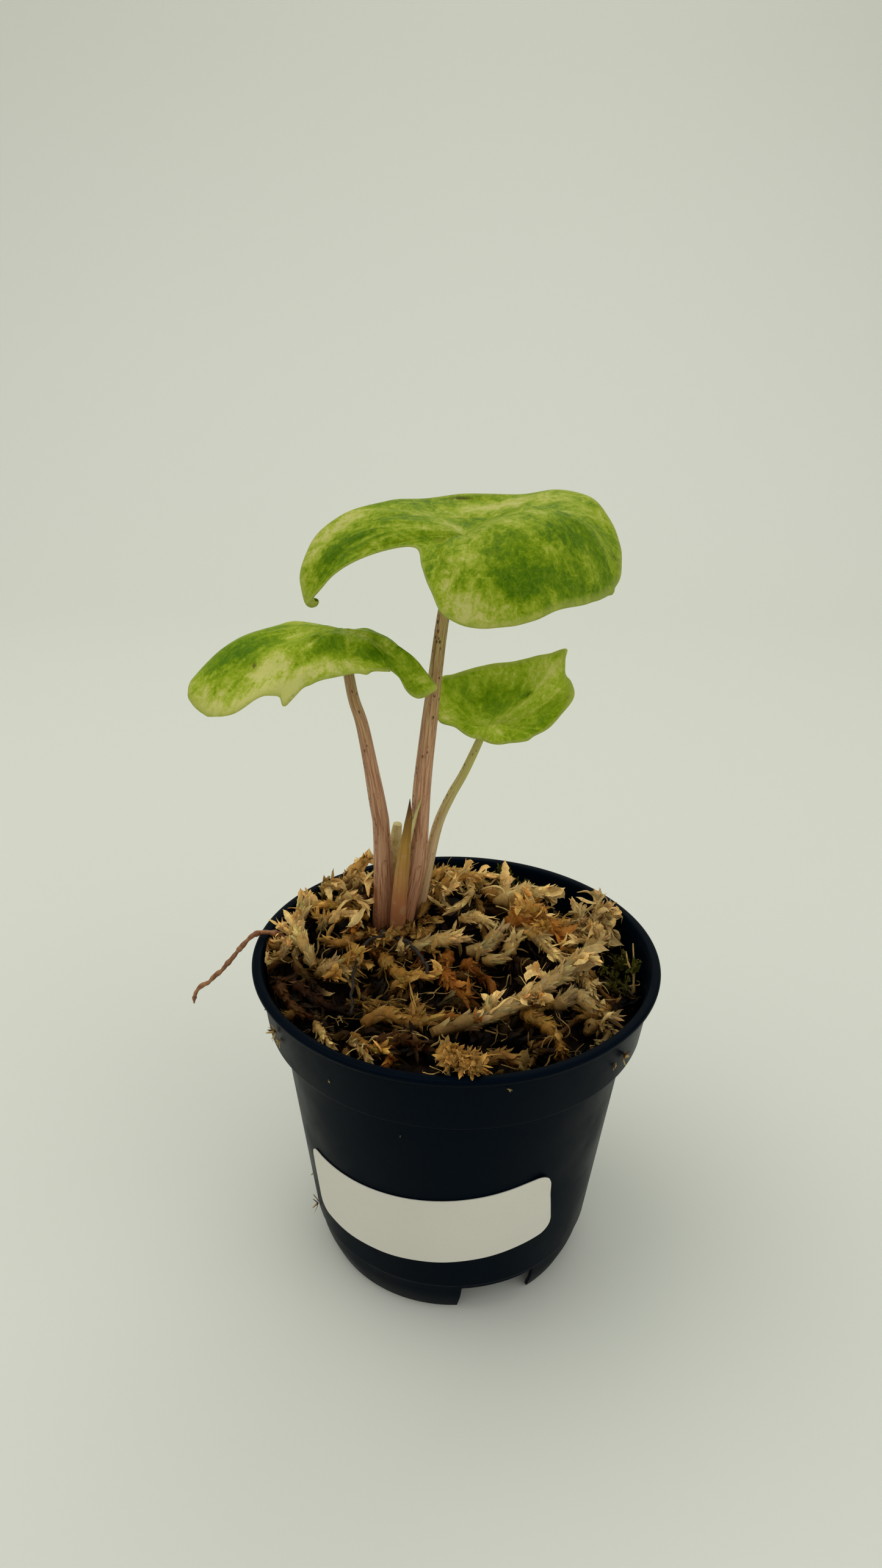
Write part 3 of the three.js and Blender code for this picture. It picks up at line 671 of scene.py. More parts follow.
def make_label(material):
    """Paper strip on the cone: rounded corners, faint ripples and one lifted corner."""
    around, up = 181, 25
    bend = outer_radius(LABEL_MIDDLE)
    arc = (LABEL_END - LABEL_START) * bend
    u = np.linspace(0, 1, around)[:, None]
    v = np.linspace(-1, 1, up)
    span = u * arc
    corner = np.clip(LABEL_CORNER - np.minimum(span, arc - span), 0, LABEL_CORNER)
    inset = LABEL_CORNER - np.sqrt(LABEL_CORNER**2 - corner**2)
    across = v * (LABEL_HEIGHT / 2 - inset)
    turn = (u - 0.5) * (LABEL_END - LABEL_START)
    slope = (LABEL_SKEW + 2 * LABEL_BOW * turn) / bend
    z = LABEL_MIDDLE + LABEL_SKEW * turn + LABEL_BOW * turn**2 + across
    angle = (LABEL_START + LABEL_END) / 2 + turn - slope * across / bend
    ripple = 0.03 * np.sin(span * 0.55 + 1.3 * np.sin(z * 0.3)) * np.cos(z * 0.21)
    lift = 0.35 * smoothstep(arc - 6, arc, span) * smoothstep(0.2, 1, v)
    sheets = []
    for depth in (LABEL_GAP, LABEL_GAP + LABEL_THICKNESS):
        radius = outer_radius(z) + depth + ripple + lift
        sheets.append(np.stack([radius * np.cos(angle), radius * np.sin(angle), z], -1))
    label = make_mesh("paper_label", np.concatenate(sheets).reshape(-1, 3), sheet_faces(around, up))
    shade_by_angle(label, 50)
    place(label, material, "label_paper", "label")


# Blades

# Each blade is a fan of spokes from its heart to its margin: [edge x, edge y, edge z, belly, shoulder]
CENTRE_HEART = np.array([-0.5, 2, 166.45])
CENTRE_SPOKES = np.array([
    [27, -3, 157, 8.5, 1], [30, 2, 159, 8, 1], [31, 8, 163, 5.5, 0.5], [29, 13, 167.5, 3, 0],
    [25, 17, 171.5, 0.8, 0], [18.5, 20, 172.5, 0, 0], [11, 21, 171.5, -0.5, 0], [1, 20, 171.5, -1, 0],
    [-8, 17, 170.5, 0, 0], [-15.5, 13, 170.5, 1, 0], [-23.5, 9, 168.5, 2, 0], [-29.5, 5, 164, 3.5, 0],
    [-31.5, 1, 158, 5.5, 0], [-30.5, -1, 154, 7, 0], [-28.5, -3, 156, 5.5, 0], [-25, -4, 160, 3, 0],
    [-20, -4, 163, 1.2, 0], [-14, -3, 165, 0.3, 0], [-9, -3, 165, 0, 0], [-8, -7, 162.5, 1.2, 0],
    [-6.5, -11, 159.5, 2.5, 0.5], [-4, -14, 155.5, 4, 0.5], [0, -16, 154, 5, 0.5], [5.5, -17, 154, 6, 0.5],
    [11.5, -17, 155.5, 6.5, 1], [17.5, -14, 157, 7.5, 1], [23.5, -8, 156.5, 8.5, 1],
])
LEFT_HEART = np.array([-24.5, 5, 146.95])
LEFT_SPOKES = np.array([
    [-5, -3.5, 138.5, 2.7, 0], [-7, -0.5, 139.5, 2.3, 0], [-11.5, 9, 140, 1.8, 0], [-19, 15, 139.5, 1, 0],
    [-27.5, 17, 139.5, 1, 0], [-37.5, 17, 139, 1.5, 0], [-46, 14, 139, 3, 0], [-52, 9, 137.5, 4, 0],
    [-54.5, 1, 136.5, 4.6, 0], [-53, -4, 134.5, 5, 0], [-49, -7, 133, 5, 0], [-43.5, -9, 134, 4.5, 0],
    [-37.5, -9, 137.5, 3.5, 0], [-34, -9, 136, 4, 0], [-29.5, -8, 139.5, 3, 0.5], [-25, -7, 141, 3, 0.5],
    [-19, -6, 142, 2.5, 0], [-14, -4, 141, 1.2, 0], [-11, -4.5, 137.8, 2.2, 0], [-8, -4.5, 136.2, 2.8, 0],
])
RIGHT_HEART = np.array([5, 9, 124.45])
RIGHT_SPOKES = np.array([
    [20.5, 12, 140, -2, 0], [16.5, 15, 138.5, -2.5, 0], [11, 17, 136.5, -2.5, 0], [4, 18, 135, -2.5, 0],
    [-1.5, 17, 133.5, -2, 0], [-4.5, 14, 133, -1.5, 0], [-5, 11, 129.5, -1, 0], [-4.5, 8, 127, 0, 0],
    [-1, 6, 126.5, 0.3, 0], [2.5, 4, 125, 0.8, 0.5], [6.5, 3, 124, 1.2, 0.6], [10, 3, 124, 1.5, 0.6],
    [13, 3, 124.5, 1.5, 0.5], [16, 4, 125.5, 0.5, 0], [19.5, 6, 128, -0.5, 0], [22, 8, 131, -1.2, 0],
    [22.5, 10, 133.5, -1.5, 0], [21.5, 11, 136, -2, 0],
])


def blade_points(heart, spokes, turn, reach):
    """The blade's middle surface: straight spokes from the heart, raised by their belly and shoulder."""
    chord = spline(spokes[:, :3], turn, closed=True) - heart
    level = np.hypot(chord[:, 0], chord[:, 1])
    up = unit(np.stack([-chord[:, 0] * chord[:, 2] / level, -chord[:, 1] * chord[:, 2] / level, level], -1))
    belly, shoulder = spline(spokes[:, 3:5], turn, closed=True).T[..., None]
    rise = 4 * belly * reach * (1 - reach) + 6.75 * shoulder * reach * (1 - reach) ** 2
    return heart + chord[:, None] * reach[None, :, None] + up[:, None] * rise[..., None]


def blade_normals(grid):
    around = np.roll(grid, -1, 0) - np.roll(grid, 1, 0)
    outward = np.empty_like(grid)
    outward[:, 1:-1] = grid[:, 2:] - grid[:, :-2]
    outward[:, 0] = grid[:, 1] - grid[:, 0]
    outward[:, -1] = grid[:, -1] - grid[:, -2]
    return unit(np.cross(outward, around))


def spokes_away(turn, spoke, count):
    """How many of the spokes lie between a turn from 0 to 1 and the given spoke, the short way round."""
    return np.abs((turn - spoke / count + 0.5) % 1 - 0.5) * count


def vein_lines(turn, reach, veins, count):
    """How deep each place lies in the veins: [spoke at the heart, spoke at the margin, from, to, width]."""
    depth = np.zeros((len(turn), len(reach)))
    for start, end, first, last, width in veins:
        t = np.clip((reach - first) / (last - first), 0, 1)
        away = spokes_away(turn[:, None], start + (end - start) * t**1.6, count)
        near = bell(away * np.maximum(reach, 0.05) / (width * (1.15 - 0.75 * t)))
        inside = smoothstep(first - 0.02, first + 0.02, reach) * (1 - smoothstep(last - 0.08, last, reach))
        depth = np.maximum(depth, near * inside * (1 - 0.5 * t))
    return depth


def value_noise(rng, x, y, columns, rows):
    """Smooth noise on a grid of cells, for x and y from 0 to 1, with x wrapping round."""
    table = rng.uniform(-1, 1, (columns + 1, rows + 2))
    table[-1] = table[0]
    i = np.clip(np.floor(x * columns).astype(int), 0, columns - 1)
    j = np.clip(np.floor(y * rows).astype(int), 0, rows)
    u = smoothstep(0, 1, x * columns - i)
    v = smoothstep(0, 1, y * rows - j)
    low = table[i, j] * (1 - u) + table[i + 1, j] * u
    high = table[i, j + 1] * (1 - u) + table[i + 1, j + 1] * u
    return low * (1 - v) + high * v


def roll_margin(grid, normal, turn, count, rolls):
    """Rings past the margin that curl under. rolls are [spoke, width in spokes, length mm, radius mm]."""
    steps = 12
    length = np.full(len(turn), 0.45)
    radius = np.full(len(turn), 0.45)
    for spoke, width, far, bend in rolls:
        part = bell(spokes_away(turn, spoke, count) / width)
        length = np.maximum(length, part * far)
        radius = radius + (bend - radius) * part
    out = unit(grid[:, -1] - grid[:, -4])[:, None]
    up = normal[:, -1][:, None]
    angle = (np.linspace(0, 1, steps + 1)[1:] * (length / radius)[:, None])[..., None]
    radius = radius[:, None, None]
    rolled = grid[:, -1][:, None] + out * radius * np.sin(angle) - up * radius * (1 - np.cos(angle))
    return rolled, up * np.cos(angle) + out * np.sin(angle)


def paint_blade(look, tt, rr, count):
    """Broad light and dark areas, and small scars, each at a spoke and reach with a width in both."""
    paint = np.full(rr.shape, look["tone"])
    for spoke, at, wide, deep, amount in look["blobs"]:
        paint += amount * bell(spokes_away(tt, spoke, count) / wide) * bell((rr - at) / deep)
    scar = np.zeros(rr.shape)
    for spoke, at, wide, deep in look["scars"]:
        scar = np.maximum(scar, bell(spokes_away(tt, spoke, count) / wide) * bell((rr - at) / deep))
    return paint, scar


def blade_surface(heart, spokes, look, turn, reach):
    """The blade's middle surface with its waves, wrinkles, uneven margin and nicks."""
    rng = np.random.default_rng(look["seed"])
    grid = blade_points(heart, spokes, turn, reach)
    normal = blade_normals(grid)
    tt, rr = np.meshgrid(turn, reach, indexing="ij")
    edge = smoothstep(0.55, 1, rr)
    waves = look["waves"]
    shift = value_noise(rng, tt, rr, waves, 2) * look["wave_mm"] * edge
    shift += value_noise(rng, tt, rr, 2 * waves, 6) * 0.28 * smoothstep(0.1, 0.5, rr)
    shift += value_noise(rng, tt, rr, waves, 4) * look["pucker_mm"] * smoothstep(0.12, 0.5, rr)
    wobble = value_noise(rng, tt, rr, 4 * waves, 1) * 0.18 * edge
    outward = unit(grid - heart)
    grid = grid + normal * shift[..., None] + outward * wobble[..., None]
    for spoke, width, depth, inner in look["nicks"]:
        bite = bell(spokes_away(tt, spoke, len(spokes)) / width) * smoothstep(inner, 1, rr) * depth
        grid = grid - outward * bite[..., None]
    return grid


def blade_faces(turns, rings):
    """Quads of two skins joined at the margin, and fans to the two middles that follow them."""
    block = turns * rings
    row = np.arange(block).reshape(turns, rings)
    after = np.roll(row, -1, 0)
    face = np.stack([row[:, :-1], row[:, 1:], after[:, 1:], after[:, :-1]], -1).reshape(-1, 4)
    last, last_after = row[:, -1], after[:, -1]
    rim = np.stack([last, last + block, last_after + block, last_after], -1)
    middle = np.full(turns, 2 * block)
    upper = np.stack([middle, row[:, 0], after[:, 0]], -1)
    lower = np.stack([middle + 1, after[:, 0] + block, row[:, 0] + block], -1)
    return np.concatenate([face, face[:, ::-1] + block, rim]), np.concatenate([upper, lower])


def make_blade(side, heart, spokes, look):
    """Two skins over a fan of spokes, waved, nicked and veined, with a margin that rolls under."""
    count = len(spokes)
    turns, rings = look["grid"]
    turn = np.arange(turns) / turns
    reach = np.linspace(0, 1, rings + 1)[1:]
    tt, rr = np.meshgrid(turn, reach, indexing="ij")
    grid = blade_surface(heart, spokes, look, turn, reach)
    normal = blade_normals(grid)
    rolled, roll_normals = roll_margin(grid, normal, turn, count, look["roll"])
    grid = np.concatenate([grid, rolled], 1)
    normal = np.concatenate([normal, roll_normals], 1)
    extra = rolled.shape[1]
    total = rings + extra

    def past_margin(values, fill=0.0):
        return np.concatenate([values, np.full((turns, extra), fill)], 1)

    def both_skins(values, at_heart):
        return np.concatenate([values.ravel(), values.ravel(), [at_heart, at_heart]])

    vein = past_margin(vein_lines(turn, reach, look["veins"], count))
    half = 0.5 * (0.42 - 0.20 * np.linspace(0, 1, total) ** 0.5)
    half[-2:] *= (0.8, 0.35)
    upper = grid + normal * (half - 0.32 * vein)[..., None]
    lower = grid - normal * (half + 0.42 * vein + past_margin(0.5 * bell(rr / 0.10)))[..., None]
    up = unit(normal[:, 0].mean(0))
    middles = [heart + up * (half[0] - 0.3), heart - up * (half[0] + 0.5)]
    vertices = np.concatenate([upper.reshape(-1, 3), lower.reshape(-1, 3), middles])
    paint, scar = paint_blade(look, tt, rr, count)
    paint = np.concatenate([paint, np.repeat(paint[:, -1:], extra, 1)], 1)
    fields = {
        "paint": both_skins(paint, 0.6),
        "vein": both_skins(vein, 0.5),
        "rim": both_skins(past_margin(smoothstep(0.965, 1, rr), 1.0), 0),
        "scar": both_skins(past_margin(scar), 0),
        "under": np.concatenate([np.zeros(turns * total), np.ones(turns * total), [0, 1]]),
    }
    reach = np.concatenate([reach, 1 + 0.02 * np.arange(1, extra + 1)])
    uv = np.stack(np.meshgrid(turn, reach, indexing="ij"), -1).reshape(-1, 2)
    uv = np.concatenate([uv, uv, np.zeros((2, 2))])
    blade = make_mesh(side + "_blade", vertices, *blade_faces(turns, total), uv=uv, fields=fields)
    shade_by_angle(blade, 75)
    place(blade, leaf_material(side + "_leaf", *look["skin"]), "leaf", "leaf_" + side)


# How each blade looks. skin is its noise seed, light and rough, and the lists are placed by spoke. They hold
# veins as vein_lines takes them, nicks [spoke, width, depth, from reach], rolls as roll_margin takes them,
# blobs [spoke, reach, width in spokes, width in reach, amount] and scars, which are blobs without an amount
CENTRE_LOOK = {
    "grid": (216, 56), "skin": (0.11, 1.0, 0.85), "seed": 11,
    "waves": 12, "wave_mm": 0.7, "pucker_mm": 0.25, "tone": 0.45,
    "veins": [
        [4.2, 0.4, 0, 1, 0.55], [8.6, 9.6, 0, 0.9, 0.32], [18, 18, 0, 0.95, 0.35], [13.2, 13.4, 0, 0.95, 0.4],
        [22, 22.4, 0, 0.9, 0.3], [25, 25.2, 0.05, 0.9, 0.25], [4.2, 7, 0.25, 0.95, 0.25],
        [4.2, 5.2, 0.45, 0.95, 0.2], [4, 26, 0.3, 0.95, 0.22], [12, 10.4, 0.35, 0.95, 0.18],
        [14, 16, 0.35, 0.95, 0.18], [22, 20.4, 0.3, 0.95, 0.18], [22.2, 23.6, 0.35, 0.95, 0.18],
        [8.8, 8, 0.3, 0.9, 0.16],
    ],
    "nicks": [[0.3, 0.12, -0.5, 0.95], [26.2, 0.35, 0.3, 0.9], [9.3, 0.5, 0.4, 0.85], [5, 0.6, -0.3, 0.8]],
    "roll": [[13.25, 0.42, 4.6, 0.95], [0.2, 0.5, 1.2, 0.8]],
    "blobs": [
        [24.7, 0.84, 1.2, 0.11, -0.34], [23.3, 0.73, 0.8, 0.10, -0.24], [26.3, 0.62, 0.7, 0.12, -0.26],
        [21.9, 0.88, 1.1, 0.13, 0.36], [23.2, 0.98, 1.3, 0.07, 0.36], [20.9, 0.86, 0.8, 0.14, 0.22],
        [26.6, 0.84, 0.5, 0.09, 0.22], [26.6, 0.99, 0.5, 0.05, -0.2], [11.2, 0.92, 1.2, 0.14, 0.42],
        [10.2, 0.80, 0.8, 0.20, 0.20], [12.6, 0.62, 1.6, 0.24, -0.22], [13.8, 0.40, 1.6, 0.20, -0.10],
        [9.6, 0.34, 1.2, 0.10, -0.16], [8.4, 0.27, 0.7, 0.09, 0.20], [6.8, 0.66, 1.0, 0.16, 0.36],
        [5.4, 0.80, 1.6, 0.18, 0.32], [3.2, 0.85, 1.2, 0.15, 0.14], [1.4, 0.80, 1.2, 0.20, -0.08],
        [23.0, 0.40, 2.6, 0.18, 0.02], [7.2, 0.30, 0.9, 0.10, -0.20], [16.0, 0.80, 2.0, 0.30, 0.06],
        [26.8, 0.40, 1.4, 0.16, 0.10],
    ],
    "scars": [[7.2, 0.93, 0.28, 0.03], [5.0, 0.57, 0.10, 0.03], [1.35, 0.93, 0.08, 0.02]],
}
# The left blade's light of 1.12 is painted light: it lightens the tones where this blade gets less light than
# the centre one.
LEFT_LOOK = {
    "grid": (200, 46), "skin": (0.37, 1.12, 0.76), "seed": 23,
    "waves": 15, "wave_mm": 1.2, "pucker_mm": 1.1, "tone": 0.47,
    "veins": [
        [10.4, 10, 0, 1, 0.5], [18.6, 19.4, 0, 0.95, 0.35], [4.5, 3.6, 0, 0.9, 0.35],
        [13.2, 13.4, 0.05, 0.95, 0.3], [10.4, 12, 0.25, 0.95, 0.22], [10.4, 8.6, 0.3, 0.95, 0.22],
        [15.6, 15.8, 0.1, 0.95, 0.25], [13.2, 14.6, 0.35, 0.95, 0.18], [6.6, 6.4, 0.1, 0.9, 0.25],
        [2, 1.6, 0.1, 0.9, 0.2],
    ],
    "nicks": [[17.2, 0.22, 1.6, 0.7], [12.45, 0.25, 0.9, 0.8], [13.6, 0.3, 1.4, 0.8],
              [16.0, 0.18, -1.0, 0.85], [10.5, 0.6, -0.4, 0.8]],
    "roll": [[9.2, 1.0, 1.8, 1.0], [12.9, 0.25, 1.6, 0.6]],
    "blobs": [
        [12.3, 0.80, 1.4, 0.22, 0.48], [11.2, 0.66, 0.8, 0.18, 0.28], [14.2, 0.86, 1.5, 0.12, 0.30],
        [10.4, 0.50, 1.4, 0.16, -0.28], [9.2, 0.70, 1.0, 0.12, -0.22], [14.2, 0.62, 1.3, 0.12, -0.34],
        [16.6, 0.72, 1.3, 0.16, -0.30], [9.8, 0.97, 1.4, 0.08, 0.46], [11.6, 0.97, 1.2, 0.07, 0.30],
        [15.4, 0.94, 0.9, 0.07, 0.30], [13.0, 0.48, 1.4, 0.12, 0.16], [18.6, 0.75, 1.2, 0.2, -0.05],
        [19.6, 0.95, 0.8, 0.1, 0.12], [13.0, 0.98, 0.5, 0.10, 0.55], [11.0, 0.86, 0.8, 0.08, -0.18],
    ],
    "scars": [[10.55, 0.66, 0.12, 0.03], [13.2, 0.99, 0.08, 0.02]],
}
# The right blade's light of 1.30 and its raised tone are painted light for the shade it lies in under the
# centre blade.
RIGHT_LOOK = {
    "grid": (190, 44), "skin": (0.71, 1.30, 0.66), "seed": 37,
    "waves": 9, "wave_mm": 0.45, "pucker_mm": 0.3, "tone": 0.54,
    "veins": [
        [0.2, 0, 0, 1, 0.45], [3.4, 3.2, 0, 0.95, 0.3], [6.4, 6.6, 0, 0.9, 0.25],
        [16.2, 16.6, 0.05, 0.95, 0.25], [10.4, 10.8, 0, 0.9, 0.3], [13.2, 13.4, 0, 0.95, 0.25],
        [0.2, 1.6, 0.3, 0.95, 0.2], [3.4, 4.8, 0.35, 0.9, 0.18],
    ],
    "nicks": [[0.1, 0.35, -0.7, 0.85], [9.4, 0.4, 0.6, 0.85], [12.8, 0.4, 0.7, 0.8]],
    "roll": [[0.1, 0.5, 1.2, 0.7], [15.5, 1.2, 1.2, 0.9]],
    "blobs": [
        [3.0, 0.55, 1.6, 0.26, -0.16], [1.6, 0.40, 1.4, 0.16, -0.10], [0.6, 0.56, 0.35, 0.05, -0.50],
        [0.2, 0.80, 0.9, 0.22, 0.16], [2.2, 0.86, 1.2, 0.14, 0.16], [4.6, 0.60, 1.0, 0.2, 0.08],
        [10.6, 0.70, 1.8, 0.3, 0.12], [17.0, 0.75, 0.9, 0.2, 0.08], [13.6, 0.80, 1.2, 0.2, -0.10],
        [6.6, 0.80, 1.0, 0.2, 0.22],
    ],
    "scars": [[0.6, 0.56, 0.10, 0.03]],
}


# Stalks


def make_stalk(name, node, material, slot, points, radii, seed, flare, lines=11):
    """A ribbed stalk along the points, flared at its foot."""
    rng = np.random.default_rng(seed)
    line, share = even_line(points, 150)
    width = spline(np.array(radii)[:, None], share)[:, 0]
    width = width * (1 + (flare - 1) * np.exp(-share * 18))
    angle = ring_angles(40)
    phase = rng.uniform(0, 2 * math.pi, 3)
    ridges = 0.016 * np.sin(lines * angle + phase[0]) + 0.010 * np.sin((2 * lines + 3) * angle + phase[1])
    ridges = ridges + 0.012 * np.sin(share * 31 + phase[2])[:, None]
    vertices, quads, triangles, uv = tube(line, width, 40, ridges)
    stalk = make_mesh(name, vertices, quads, triangles, uv=uv)
    shade_by_angle(stalk, 60)
    place(stalk, material, slot, node)


# Way and radii of each stalk
CENTRE_STALK = [[-13, 8.6, 69.6], [-11.5, 9, 80], [-9, 8, 93], [-8, 6, 112.5], [-6, 4.6, 133], [-4, 3, 151],
                [-2, 2, 160], [-0.6, 2, 166]]
CENTRE_RADII = [2.2, 2.1, 2, 1.9, 1.7, 1.4, 1.2, 1]
LEFT_STALK = [[-17, 10, 69.6], [-16.6, 9.5, 84], [-17, 9, 100], [-17.6, 8.5, 106], [-20.5, 7, 124.5],
              [-22.6, 6, 133], [-24.4, 5, 146.5]]
LEFT_RADII = [2.5, 2.35, 1.95, 1.75, 1.4, 1.15, 0.9]
RIGHT_STALK = [[-9.3, 13.2, 69.6], [-8.2, 13.1, 79.5], [-6.4, 12.9, 90.4], [-4.6, 12.2, 99.9],
               [-1.9, 11.3, 107.4], [1.2, 10.4, 114.1], [5, 9, 124.1]]
RIGHT_RADII = [1.4, 1.3, 1.2, 1.15, 1.05, 0.95, 0.8]
STUB = [[-14.6, 13.8, 69.6], [-14.8, 13.8, 82], [-14.3, 13.7, 93], [-13.6, 13.5, 99.5]]
STUB_RADII = [2.3, 2.1, 1.9, 1.0]
SHEATH = [[-13.6, 5.0, 69.6], [-13.1, 4.9, 82], [-12.0, 4.5, 95], [-10.9, 3.7, 104], [-10.5, 3.2, 110.5]]
BUD = [[-12.6, 5.1, 78], [-11.6, 4.5, 95], [-10.0, 3.8, 104], [-8.0, 3.4, 110.8]]


def make_sheath(material, green):
    """The pointed bud sheath: a rolled scale, open on one side, round the green roll of the next leaf."""
    line, share = even_line(SHEATH, 90)
    outer = np.interp(share, [0, 0.3, 0.6, 0.85, 1], [1.7, 1.65, 1.45, 0.85, 0.05])
    rows, sides = len(line), 36
    across = np.linspace(0, 1, sides)
    angle = math.radians(-60) + math.radians(300) * across
    tangent = unit(np.gradient(line, axis=0))
    normal = unit(np.cross(tangent, np.array([0, 1.0, 0])))
    ring = rings_about(normal, np.cross(tangent, normal), angle)
    lap = 1 + 0.10 * across + 0.03 * np.sin(9 * angle) * (1 - share[:, None])
    layers = []
    for inset in (0, 0.16):
        layers.append(line[:, None] + ring * (np.maximum(outer - inset, 0.02)[:, None] * lap)[..., None])
    uv = np.stack(np.meshgrid(0.9 * across, 2 * share), -1).reshape(-1, 2)
    brown = np.maximum(smoothstep(0.86, 1, share)[:, None], np.exp(-18 * across)).ravel()
    sheath = make_mesh("bud_sheath_skin", np.concatenate(layers).reshape(-1, 3), sheet_faces(rows, sides),
                       uv=np.concatenate([uv, uv]), fields={"edge": np.concatenate([brown, brown])})
    place(sheath, material, "sheath", "bud_sheath")
    line, share = even_line(BUD, 60)
    width = np.interp(share, [0, 0.5, 0.8, 1], [1.0, 0.95, 0.6, 0.08])
    vertices, quads, triangles, uv = tube(line, width, 16)
    place(make_mesh("bud_tip", vertices, quads, triangles, uv=uv), green, "stalk_green")


# Moss

COLOURS = {
    "tan": (0.60, 0.345, 0.085),
    "gold": (0.76, 0.45, 0.105),
    "orange": (0.58, 0.23, 0.035),
    "cream": (0.93, 0.69, 0.27),
    "grey": (0.72, 0.53, 0.22),
    "brown": (0.17, 0.075, 0.018),
    # dark is painted shade: it is mixed into moss that lies low or in a gap, and tints the plug between the
    # strands.
    "dark": (0.012, 0.006, 0.002),
    "olive": (0.12, 0.115, 0.016),
}

# Gaps in the moss, darkened with painted shade: [x, y, width, depth from 0 to 1]
HOLLOWS = (
    (-28.5, -8, 6, 0.95), (-37, -6, 4, 0.70), (7.6, -5.4, 4, 0.95), (-26, -14, 5, 0.90),
    (-13.2, -9.7, 2.6, 0.80), (11.7, -0.7, 3, 0.85), (36, 4, 5, 0.85), (-5.9, 13, 2.6, 0.85),
    (-20.6, -2.9, 2.6, 0.80), (1.9, -27.8, 4, 0.85), (12.3, -28, 3.5, 0.80), (-1.2, -14.8, 2.5, 0.60),
    (25.6, -23.6, 4, 0.80), (-33, 24, 6, 0.85), (28.3, 10.1, 2.6, 0.70), (12, 34, 5, 0.70),
    (-17.7, -7.2, 2.5, 0.70), (22, -33, 5, 0.85), (-30, -24, 4, 0.70), (38, -12, 5, 0.85),
)


class Heap:
    """Collects many small closed shapes into one mesh."""

    def __init__(self):
        self.vertices, self.quads, self.triangles, self.tint = [], [], [], []
        self.count = 0

    def add(self, vertices, quads, triangles, tint):
        self.vertices.append(vertices)
        self.quads.append(np.asarray(quads).reshape(-1, 4) + self.count)
        self.triangles.append(np.asarray(triangles).reshape(-1, 3) + self.count)
        self.tint.append(np.broadcast_to(tint, vertices.shape))
        self.count += len(vertices)

    def size(self):
        return sum(len(t) for t in self.triangles) + 2 * sum(len(q) for q in self.quads)

    def arrays(self):
        return [np.concatenate(parts) for parts in (self.vertices, self.quads, self.triangles, self.tint)]

    def piece(self, name, material, slot, *nodes, reach=MOSS_REACH):
        """The shapes as one piece, kept in the pot, with painted shade low down and in the gaps."""
        vertices, quads, triangles, tint = self.arrays()
        vertices = keep_in_pot(vertices, reach)
        piece = make_mesh(name, vertices, quads, triangles, shade_low(vertices, tint))
        shade_by_angle(piece, 70)
        place(piece, material, slot, *nodes)


def hollow(x, y):
    """How far a place lies in one of the gaps of the moss that are darkened with painted shade, from 0 to 1.
    """
    deep = 0.0 * x
    for at_x, at_y, wide, amount in HOLLOWS:
        deep = np.maximum(deep, amount * mound(x, y, at_x, at_y, wide))
    return deep


def shade_low(vertices, tint):
    """The tint darkened with painted shade where the vertices lie low or in a gap."""
    x, y, z = vertices.T
    lift = z - moss_height(x, y)
    share = 0.10 + 0.94 * smoothstep(-1.4, 3.8, lift)
    share = share * (1 - hollow(x, y) * (1 - 0.70 * smoothstep(0.8, 4.5, lift)))
    return tint * share[:, None] ** np.array([1.0, 1.15, 1.4])


def keep_in_pot(vertices, reach):
    """Moss kept inside the wall below the rim, above the lip over it, and within reach higher up."""
    x, y, z = vertices.T
    radius = np.hypot(x, y)
    on_lip = (z > POT_HEIGHT - 1.2) & (radius > LIP_INNER_RADIUS - 0.6)
    z = np.where(on_lip, np.maximum(z, POT_HEIGHT + 0.1), z)
    room = np.where(z > POT_HEIGHT, reach, inner_radius(z) - 0.35)
    factor = np.minimum(1, room / np.maximum(radius, 1e-6))
    return np.stack([x * factor, y * factor, z], -1)


# The corners of a leaflet: a thin closed lance of three-sided sections
LEAFLET_SHARE = np.array([0.0, 0.33, 0.74, 1.0])
LEAFLET_WIDTH = np.array([0.45, 1.0, 0.66, 0.03])


def leaflets(roots, directions, ups, length, width, cup, curl, tint, rng):
    """Many leaflets at once, as arrays of closed lances. Each is cupped and its tip curls up."""
    count = len(roots)
    d = unit(directions)
    side = unit(np.cross(d, ups))
    up = np.cross(side, d)
    s = LEAFLET_SHARE
    w = LEAFLET_WIDTH * width[:, None] * 0.5
    bend = curl[:, None] * s**2
    spine = roots[:, None] + d[:, None] * (length[:, None] * s * (1 - 0.3 * np.abs(bend)))[..., None]
    spine = spine + up[:, None] * (length[:, None] * bend * 0.6)[..., None]
    raised = (cup[:, None] * w)[..., None] * up[:, None]
    left = spine + side[:, None] * w[..., None] + raised
    right = spine - side[:, None] * w[..., None] + raised
    keel = spine - up[:, None] * (0.12 * w + 0.03)[..., None]
    vertices = np.stack([left, right, keel], 2).reshape(-1, 3)
    first = (np.arange(count) * 3 * len(s))[:, None, None]
    quads = (first + ring_faces(len(s), 3)).reshape(-1, 4)
    ends = (first + np.array([[0, 2, 1], np.array([0, 1, 2]) + 3 * (len(s) - 1)])).reshape(-1, 3)
    shade = tint[:, None] * (0.72 + 0.42 * s)[:, None] * rng.uniform(0.8, 1.2, (count, 1, 1))
    return vertices, quads, ends, np.repeat(shade.reshape(-1, 3), 3, 0)


def curly_line(rng, start, heading, length, steps, wander, lift=0.0, settle=None):
    """A wandering path from a point. It bends smoothly at random, and settle pulls it to the moss surface."""
    points = [np.array(start, float)]
    direction = unit(np.array(heading, float))
    turn = rng.normal(0, wander, 3)
    step = length / steps
    for _ in range(steps):
        turn = 0.75 * turn + rng.normal(0, wander, 3)
        direction = unit(direction + turn * 0.5 + np.array([0, 0, lift]))
        point = points[-1] + direction * step
        if settle is not None:
            ground = float(moss_height(point[0], point[1])) + settle
            point[2] += 0.5 * (ground - point[2])
        points.append(point)
    return np.array(points)


